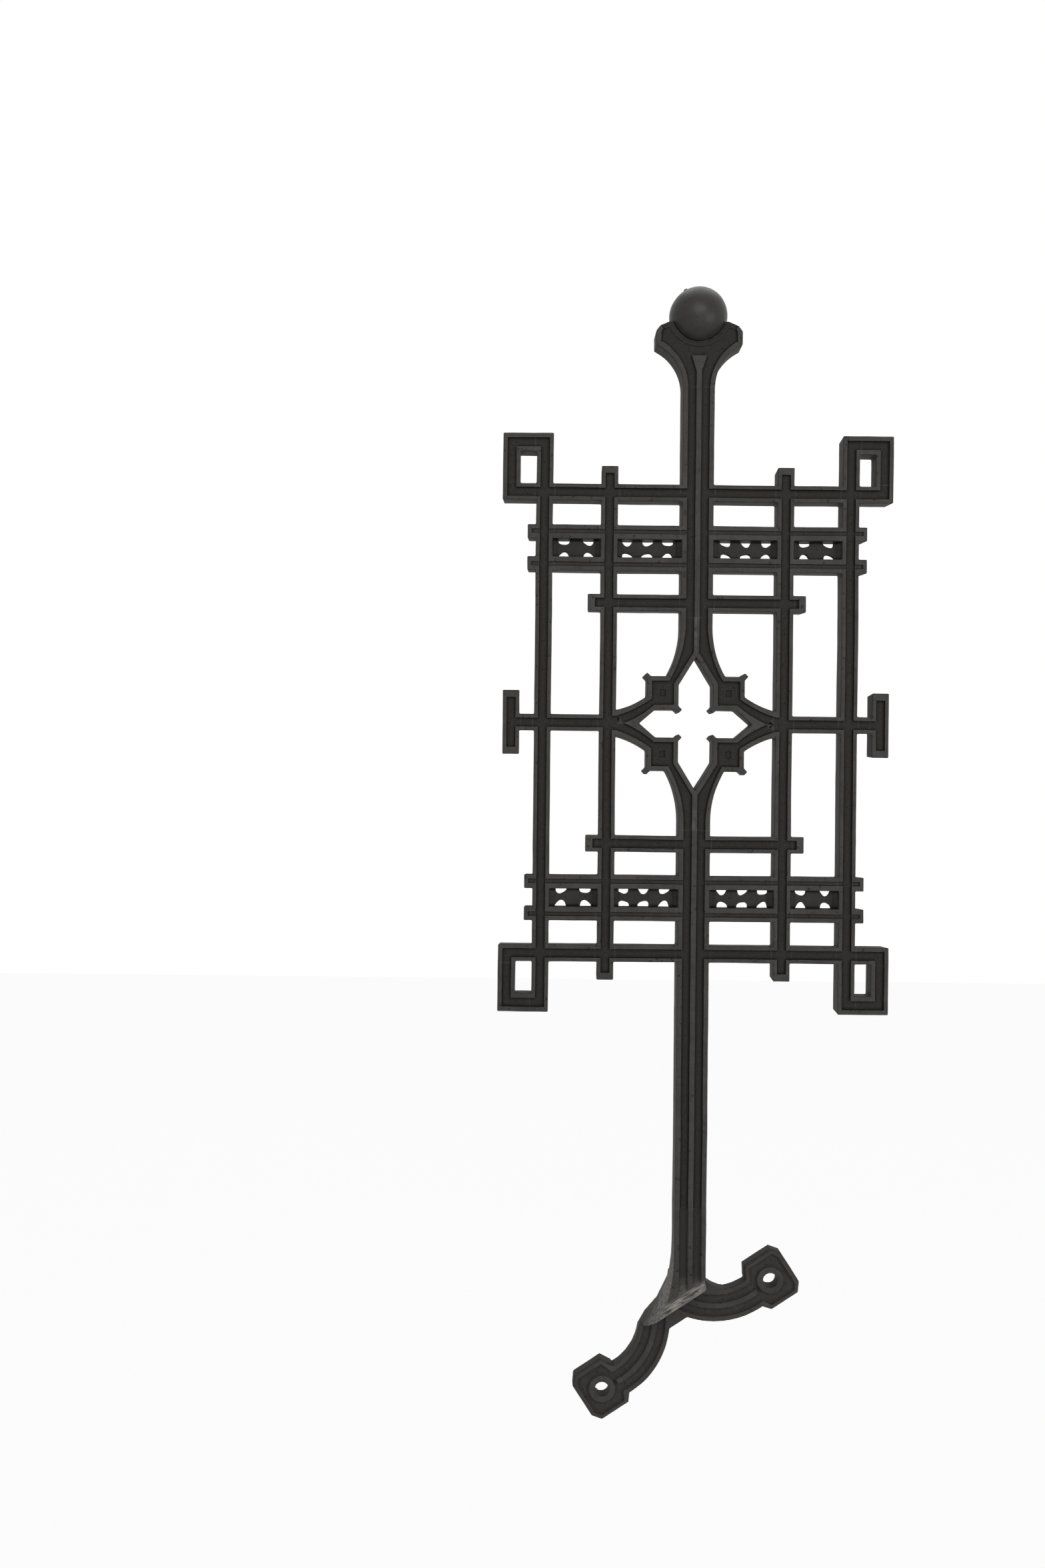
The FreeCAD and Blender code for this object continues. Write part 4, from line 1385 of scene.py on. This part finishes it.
    def build(self, cast: Cast) -> dict[str, bpy.types.Object]:
        """The whole foot as one skin, divided into its pieces.

        Args:
            cast: How the surface strays.

        Returns:
            Each piece under the name of its node.
        """
        f = self.sizes
        flat = self.crotch()
        Bench.combined(flat, [self.leg(-1), self.leg(1), self.pad(-1), self.pad(1)], "UNION")
        cutters = self.grooves(-1) + self.grooves(1)
        cutters += [self.rod(side * f.hole_half, f.hole_r, -f.plate - f.over, f.plate + 2 * f.over)
                    for side in (-1, 1)]
        Bench.combined(flat, cutters, "DIFFERENCE")
        Bench.combined(flat, [self.knee()], "UNION")
        Bench.combined(flat, [self.flank_cutter()], "DIFFERENCE")
        flat.name = "foot"
        Bench.modify(flat, "REMESH", mode="VOXEL", voxel_size=f.voxel * MM, adaptivity=0.0)
        Bench.modify(flat, "SMOOTH", factor=0.5, iterations=2)
        cast.roughen(flat)
        return self.divide(flat)

    def divide(self, foot: bpy.types.Object) -> dict[str, bpy.types.Object]:
        """Cut the foot where its members meet and separate them."""
        f = self.sizes
        angle = math.radians(f.pitch_deg)
        along = Vector((math.cos(angle), 0, math.sin(angle)))
        Bench.cut_all(foot, Vector((0, 0, f.top_z)) * MM, Vector((0, 0, 1)), clear_outer=True)
        for u in (-f.pad_in, f.pad_in):
            Bench.cut_all(foot, along * u * MM, along)
        for u in (-f.left_start, f.right_start):
            Bench.pick_faces(foot, lambda face: f.level(face.calc_center_median())[1] < f.plate_seam_n)
            Bench.cut_selected(along * u * MM, along)
        bpy.ops.object.mode_set(mode="OBJECT")

        def place(point: Vector) -> Spot:
            return f.level(point)

        wanted = (
            ("foot_pad_left", lambda point: place(point)[0] < -f.pad_in),
            ("foot_pad_right", lambda point: place(point)[0] > f.pad_in and place(point)[1] < f.plate_seam_n),
            ("foot_leg_left", lambda point: place(point)[0] < -f.left_start
             and place(point)[1] < f.plate_seam_n),
            ("foot_leg_right", lambda point: place(point)[0] > f.right_start
             and place(point)[1] < f.plate_seam_n),
        )
        pieces = {}
        for name, test in wanted:
            part = Bench.split_off(foot, "cast_" + name, test)
            if part:
                pieces[name] = part
        foot.name = "cast_foot_knee"
        Bench.close_ends(foot)
        pieces["foot_knee"] = foot
        return pieces


class Signal:
    """A shader socket that can be used in sums. Each operator adds one Math node."""

    def __init__(self, recipe: "Recipe", socket: bpy.types.NodeSocket) -> None:
        self.recipe = recipe
        self.socket = socket

    def _sum(self, operation: str, first: object, second: object = 0.0) -> "Signal":
        node = self.recipe.node("Math", {"operation": operation}, {0: first, 1: second})
        return Signal(self.recipe, node.outputs[0])

    def __add__(self, other: object) -> "Signal":
        """Sum."""
        return self._sum("ADD", self, other)

    def __radd__(self, other: object) -> "Signal":
        """Sum."""
        return self._sum("ADD", other, self)

    def __sub__(self, other: object) -> "Signal":
        """Difference."""
        return self._sum("SUBTRACT", self, other)

    def __rsub__(self, other: object) -> "Signal":
        """Difference."""
        return self._sum("SUBTRACT", other, self)

    def __mul__(self, other: object) -> "Signal":
        """Product."""
        return self._sum("MULTIPLY", self, other)

    def __rmul__(self, other: object) -> "Signal":
        """Product."""
        return self._sum("MULTIPLY", other, self)


class Recipe:
    """A material's nodes as they are put together."""

    def __init__(self, name: str) -> None:
        self.material = bpy.data.materials.new(name)
        self.material.use_nodes = True
        self.tree = self.material.node_tree
        self.shader = self.tree.nodes["Principled BSDF"]
        self.place = Signal(self, self.node("TexCoord").outputs["Object"])

    def plug(self, value: object, socket: bpy.types.NodeSocket) -> None:
        """Give a socket a value, or link a signal to it."""
        if isinstance(value, Signal):
            self.tree.links.new(value.socket, socket)
        else:
            socket.default_value = value

    def node(self, kind: str, settings: dict[str, object] | None = None,
             sockets: dict[str | int, object] | None = None) -> bpy.types.Node:
        """Add a node.

        Args:
            kind: The node's type, without its ShaderNode prefix.
            settings: Its settings; "stops" are a ramp's places and colours.
            sockets: Values or signals of its sockets.

        Returns:
            The node.
        """
        node = self.tree.nodes.new("ShaderNode" + kind)
        for key, value in (settings or {}).items():
            if key == "stops":
                ramp = node.color_ramp
                while len(ramp.elements) < len(value):
                    ramp.elements.new(0.5)
                for element, (place, colour) in zip(ramp.elements, value):
                    element.position = place
                    element.color = colour
            else:
                setattr(node, key, value)
        for key, value in (sockets or {}).items():
            self.plug(value, node.inputs[key])
        return node

    def out(self, node: bpy.types.Node, name: str | int = 0) -> Signal:
        """A node's output as a signal."""
        return Signal(self, node.outputs[name])

    def noise(self, size: float, detail: float = 2.0, rough: float = 0.5, place: Signal | None = None) -> Signal:
        """Noise whose lumps are about as large as size, in millimetres."""
        node = self.node("TexNoise", {}, {"Vector": place or self.place, "Scale": 1 / (size * MM),
                                          "Detail": detail, "Roughness": rough})
        return self.out(node, "Fac")

    def spread(self, value: Signal, low: float, high: float, to_low: float = 0.0, to_high: float = 1.0) -> Signal:
        """Map a range onto another, clamped."""
        node = self.node("MapRange", {"clamp": True}, {"Value": value, "From Min": low, "From Max": high,
                                                       "To Min": to_low, "To Max": to_high})
        return self.out(node, "Result")

    def blend(self, share: Signal | float, first: object, second: object) -> Signal:
        """A colour between two."""
        node = self.node("Mix", {"data_type": "RGBA"}, {0: share, 6: first, 7: second})
        return self.out(node, 2)

    def axis(self, index: int) -> Signal:
        """One of the three coordinates, in metres."""
        return self.out(self.node("SeparateXYZ", {}, {0: self.place}), index)

    def bump(self, height: Signal, strength: float, depth: float, under: Signal | None = None) -> Signal:
        """A bump of the given depth in millimetres, on top of another."""
        sockets: dict[str | int, object] = {"Height": height, "Strength": strength, "Distance": depth * MM}
        if under:
            sockets["Normal"] = under
        return self.out(self.node("Bump", {}, sockets), "Normal")

    def set(self, **sockets: object) -> None:
        """Set the shader's own sockets; an underscore stands for a space."""
        for key, value in sockets.items():
            self.plug(value, self.shader.inputs[key.replace("_", " ")])


Colour = tuple[float, float, float, float]


def grey(value: float, warm: float = 0.0) -> Colour:
    """A linear grey, a little warmer or cooler."""
    return (value * (1 + warm), value, value * (1 - warm), 1.0)


@dataclass(frozen=True)
class CastIron:
    """Matte black sand-cast iron with fine grain and rubbed edges, darker groove floors (partly painted shade,
    partly dirt) and painted shade in creases and tight corners.
    """

    name: str = "matte cast iron"
    face: float = 0.056
    blotch: float = 0.034
    # Colour of the groove floors: partly painted shade, partly dirt in the recesses.
    groove: float = 0.012
    # Colour of the painted shade in creases and tight corners; the grain's pits use it too.
    hollow: float = 0.002
    rubbed: float = 0.13
    warm: float = 0.05
    front_y: float = -51.0
    groove_depth: float = 1.3
    grain: float = 0.55
    rough: float = 0.62
    gloss: float = 0.1
    streaks: bool = False
    streak: float = 0.4
    pitch_deg: float = 33.5

    def build(self) -> bpy.types.Material:
        """The material."""
        mix = Recipe(self.name)
        lumps = mix.noise(26, 3, 0.6)
        small = mix.noise(4.5, 3, 0.6)
        grain = mix.noise(self.grain, 3, 0.65)
        coarse = mix.noise(1.6, 2, 0.6)
        pits = mix.spread(mix.noise(2.6, 1, 0.4), 0.68, 0.74)
        colour = mix.blend(mix.spread(lumps * 0.6 + small * 0.4, 0.36, 0.64), grey(self.blotch, self.warm),
                           grey(self.face, self.warm))
        # Surfaces at the depth of the grooves, their walls and floors, take the groove colour: partly painted
        # shade, partly dirt.
        floor = self.front_y + self.groove_depth
        depth = mix.axis(1)
        sunk = mix.spread(depth, (self.front_y + 0.35) * MM, (floor - 0.3) * MM)
        sunk = sunk * mix.spread(depth, (floor + 0.7) * MM, (floor + 1.1) * MM, 1, 0)
        colour = mix.blend(sunk, colour, mix.blend(mix.spread(small, 0.35, 0.65), grey(self.groove, self.warm),
                                                   grey(self.groove * 1.35, self.warm)))
        colour = mix.blend(mix.spread(grain, 0.4, 0.72, 0, 0.3), colour, grey(self.face * 1.5, self.warm))
        if self.streaks:
            # The knee's neck grooves take the groove colour: partly painted shade, partly dirt.
            neck = mix.spread(depth, -50.65 * MM, -50.0 * MM) * mix.spread(depth, -49.0 * MM, -48.6 * MM, 1, 0)
            neck = neck * mix.spread(mix.axis(2), 46 * MM, 58 * MM)
            colour = mix.blend(neck, colour, grey(self.groove, self.warm))
            colour = mix.blend(self.streak_share(mix) * (1 - neck), colour, grey(self.streak, self.warm))
        # Painted shade: creases and tight corners, found by ambient occlusion, are darkened towards the hollow
        # colour.
        hollow = mix.out(mix.node("AmbientOcclusion", {"samples": 8}, {"Distance": 2.4 * MM}), "AO")
        colour = mix.blend(mix.spread(hollow, 0.66, 0.97, 1, 0), colour, grey(self.hollow, self.warm))
        edge = mix.out(mix.node("AmbientOcclusion", {"samples": 6, "inside": True}, {"Distance": 0.9 * MM}), "AO")
        rub = mix.spread(edge, 0.4, 0.75, 1, 0) * mix.spread(small, 0.35, 0.65)
        colour = mix.blend(rub * 0.4, colour, grey(self.rubbed, self.warm))
        colour = mix.blend(pits * 0.5, colour, grey(self.hollow, self.warm))
        normal = mix.bump(coarse, 0.5, 0.12)
        normal = mix.bump(grain, 0.6, 0.09, normal)
        normal = mix.bump(1 - pits, 0.5, 0.2, normal)
        mix.set(Base_Color=colour, Roughness=mix.spread(small * 0.5 + grain * 0.5, 0.3, 0.7, self.rough - 0.08,
                                                        self.rough + 0.1), Normal=normal)
        mix.set(Specular_IOR_Level=self.gloss, Metallic=0.0)
        return mix.material

    def streak_share(self, mix: Recipe) -> Signal:
        """How much of the rubbed grey shows: streaks along the pitch on the steep of the knee."""
        turned = mix.node("Mapping", {}, {"Vector": mix.place, "Rotation": (0, math.radians(self.pitch_deg), 0)})
        stretched = mix.node("Mapping", {}, {"Vector": mix.out(turned), "Scale": (0.12, 1, 1)})
        lines = mix.noise(1.3, 3, 0.6, mix.out(stretched))
        depth = mix.axis(1)
        near = mix.spread(depth, -0.0508, -0.047) * mix.spread(depth, -0.03, -0.014, 1, 0)
        low = mix.spread(mix.axis(2), 0.045, 0.09, 1, 0)
        return mix.spread(lines, 0.4, 0.66) * near * low * 0.85


@dataclass(frozen=True)
class Backdrop:
    """White floor and backdrop to the eye, in gloss and through glass; plain pale card to the light."""

    name: str
    card: float = 0.8
    shadow: float = 0.0

    def build(self) -> bpy.types.Material:
        """The material."""
        mix = Recipe(self.name)
        path = mix.node("LightPath")
        seen = mix.out(mix.node("Math", {"operation": "MAXIMUM"},
                                {0: mix.out(path, "Is Camera Ray"), 1: mix.out(path, "Is Glossy Ray")}))
        seen = mix.out(mix.node("Math", {"operation": "MAXIMUM"},
                                {0: seen, 1: mix.out(path, "Is Transmission Ray")}))
        mix.set(Base_Color=grey(self.card), Roughness=1.0, Specular_IOR_Level=0.0)
        white = mix.node("Emission", {}, {"Color": grey(1.0), "Strength": 1.0})
        share = seen * (1 - self.shadow)
        blend = mix.node("MixShader", {}, {0: share, 1: mix.out(mix.shader), 2: mix.out(white)})
        mix.tree.links.new(blend.outputs[0], mix.tree.nodes["Material Output"].inputs["Surface"])
        return mix.material


@dataclass
class Studio:
    """Camera, floor, backdrop and soft light."""

    eye: tuple[float, float, float] = (-0.1201, -0.8835, 0.3893)
    roll: float = 0.0105
    lens: float = 28.3
    floor_z: float = -0.16
    back_y: float = 2.6
    reach: float = 4.0

    def camera(self) -> None:
        """The camera of the photograph."""
        Bench.clear()
        bpy.ops.object.camera_add(location=self.eye, rotation=(math.pi / 2, 0, 0))
        camera = bpy.context.object
        camera.name = "camera"
        camera.matrix_world = camera.matrix_world @ Matrix.Rotation(self.roll, 4, "Z")
        camera.data.lens = self.lens
        camera.data.sensor_width = 36
        camera.data.sensor_fit = "AUTO"
        camera.data.clip_start = 0.01
        bpy.context.scene.camera = camera

    def card(self, name: str, place: Vector, turn: tuple[float, float, float], shadow: float) -> None:
        """One large plane of the stage."""
        Bench.clear()
        bpy.ops.mesh.primitive_plane_add(size=2 * self.reach, location=place, rotation=turn)
        obj = bpy.context.object
        obj.name = name
        bpy.ops.object.transform_apply(location=True, rotation=True, scale=True)
        obj.data.materials.append(Backdrop(name + " card", shadow=shadow).build())

    def lamp(self, name: str, place: tuple[float, float, float], size: float, watts: float) -> None:
        """A soft square lamp that looks at the panel."""
        Bench.clear()
        aim = Vector((0, -0.03, 0.4)) - Vector(place)
        bpy.ops.object.light_add(type="AREA", location=place, rotation=aim.to_track_quat("-Z", "Y").to_euler())
        lamp = bpy.context.object
        lamp.name = name
        lamp.data.size = size
        lamp.data.energy = watts

    def build(self) -> None:
        """Set up everything round the object."""
        self.camera()
        self.card("floor", Vector((0, 0, self.floor_z)), (0, 0, 0), 0.05)
        self.card("backdrop", Vector((0, self.back_y, 0)), (math.pi / 2, 0, 0), 0.0)
        self.lamp("left_window", (-0.35, -1.9, 1.1), 1.0, 11)
        self.lamp("right_window", (1.2, -1.4, 0.1), 1.0, 11)
        self.lamp("top_panel", (0.1, 0.3, 1.9), 1.2, 5)
        self.lamp("low_card", (0.1, -1.2, -0.5), 1.0, 7)
        self.lamp("spot", (0.25, -1.7, 1.1), 0.25, 4.5)
        world = bpy.data.worlds.get("World") or bpy.data.worlds.new("World")
        bpy.context.scene.world = world
        world.use_nodes = True
        tree = world.node_tree
        light = tree.nodes["Background"]
        light.inputs["Color"].default_value = grey(1.0)
        light.inputs["Strength"].default_value = 0.3
        white = tree.nodes.new("ShaderNodeBackground")
        white.inputs["Color"].default_value = grey(1.0)
        path = tree.nodes.new("ShaderNodeLightPath")
        share = path.outputs["Is Camera Ray"]
        for ray in ("Is Glossy Ray", "Is Transmission Ray"):
            either = tree.nodes.new("ShaderNodeMath")
            either.operation = "MAXIMUM"
            tree.links.new(share, either.inputs[0])
            tree.links.new(path.outputs[ray], either.inputs[1])
            share = either.outputs[0]
        blend = tree.nodes.new("ShaderNodeMixShader")
        tree.links.new(share, blend.inputs[0])
        tree.links.new(light.outputs[0], blend.inputs[1])
        tree.links.new(white.outputs[0], blend.inputs[2])
        tree.links.new(blend.outputs[0], tree.nodes["World Output"].inputs["Surface"])
        bpy.context.scene.view_settings.view_transform = "Standard"


def dress(name: str, piece: bpy.types.Object, material: bpy.types.Material, cast: Cast) -> None:
    """Finish a piece: its material, shading and place in the frame.

    Args:
        name: The node that the piece stands for.
        piece: The piece.
        material: Its finish.
        cast: How it is shaded.
    """
    piece.data.materials.clear()
    piece.data.materials.append(material)
    for polygon in piece.data.polygons:
        polygon.material_index = 0
    cast.shade(piece)
    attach(piece, "root")
    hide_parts(name)
    low = [round(min(vert.co[axis] for vert in piece.data.vertices) / MM, 2) for axis in range(3)]
    high = [round(max(vert.co[axis] for vert in piece.data.vertices) / MM, 2) for axis in range(3)]
    LOG.info("%s: %d faces, %s to %s mm", piece.name, len(piece.data.polygons), low, high)


def main() -> None:
    """Build the baluster, dress it and light it."""
    logging.basicConfig(level=logging.INFO, format="%(message)s")
    Studio().build()
    cast = Cast()
    iron = CastIron().build()
    # The foot's copy: its groove colour darkens the foot's groove floors, partly painted shade and partly dirt.
    foot_iron = CastIron(name="matte cast iron, rubbed knee", streaks=True, warm=0.08, front_y=-10.0,
                         groove_depth=1.6, groove=0.026).build()
    # The ball's copy of the iron is darker than the panel's: painted shade for the ball. Its smoother, glossier
    # finish is its own.
    ball_iron = CastIron(name="smooth cast iron", face=0.032, blotch=0.021, rough=0.36, gloss=0.2).build()
    tray_iron = CastIron(name="rough cast iron", face=0.036, blotch=0.024, rubbed=0.07, rough=0.7).build()
    for name, node in frame["nodes"].items():
        node.data.materials.clear()
        node.data.materials.append(iron)
    panel = Panel()
    divider = Divider(panel, cast)
    pieces = divider.divide(panel.skin())
    ball = Ball()
    panel.lower_seat(pieces["cradle"])
    ball.seat(pieces["cradle"])
    finial = ball.build()
    cast.roughen(finial)
    dress("finial_ball", finial, ball_iron, cast)
    for name, piece in pieces.items():
        cast.roughen(piece)
        dress(name, piece, iron, cast)
    for name, piece in Trays().build().items():
        cast.roughen(piece)
        dress(name, piece, tray_iron, cast)
    for name, piece in Foot().build(cast).items():
        dress(name, piece, foot_iron, cast)


if __name__ == "__main__":
    main()
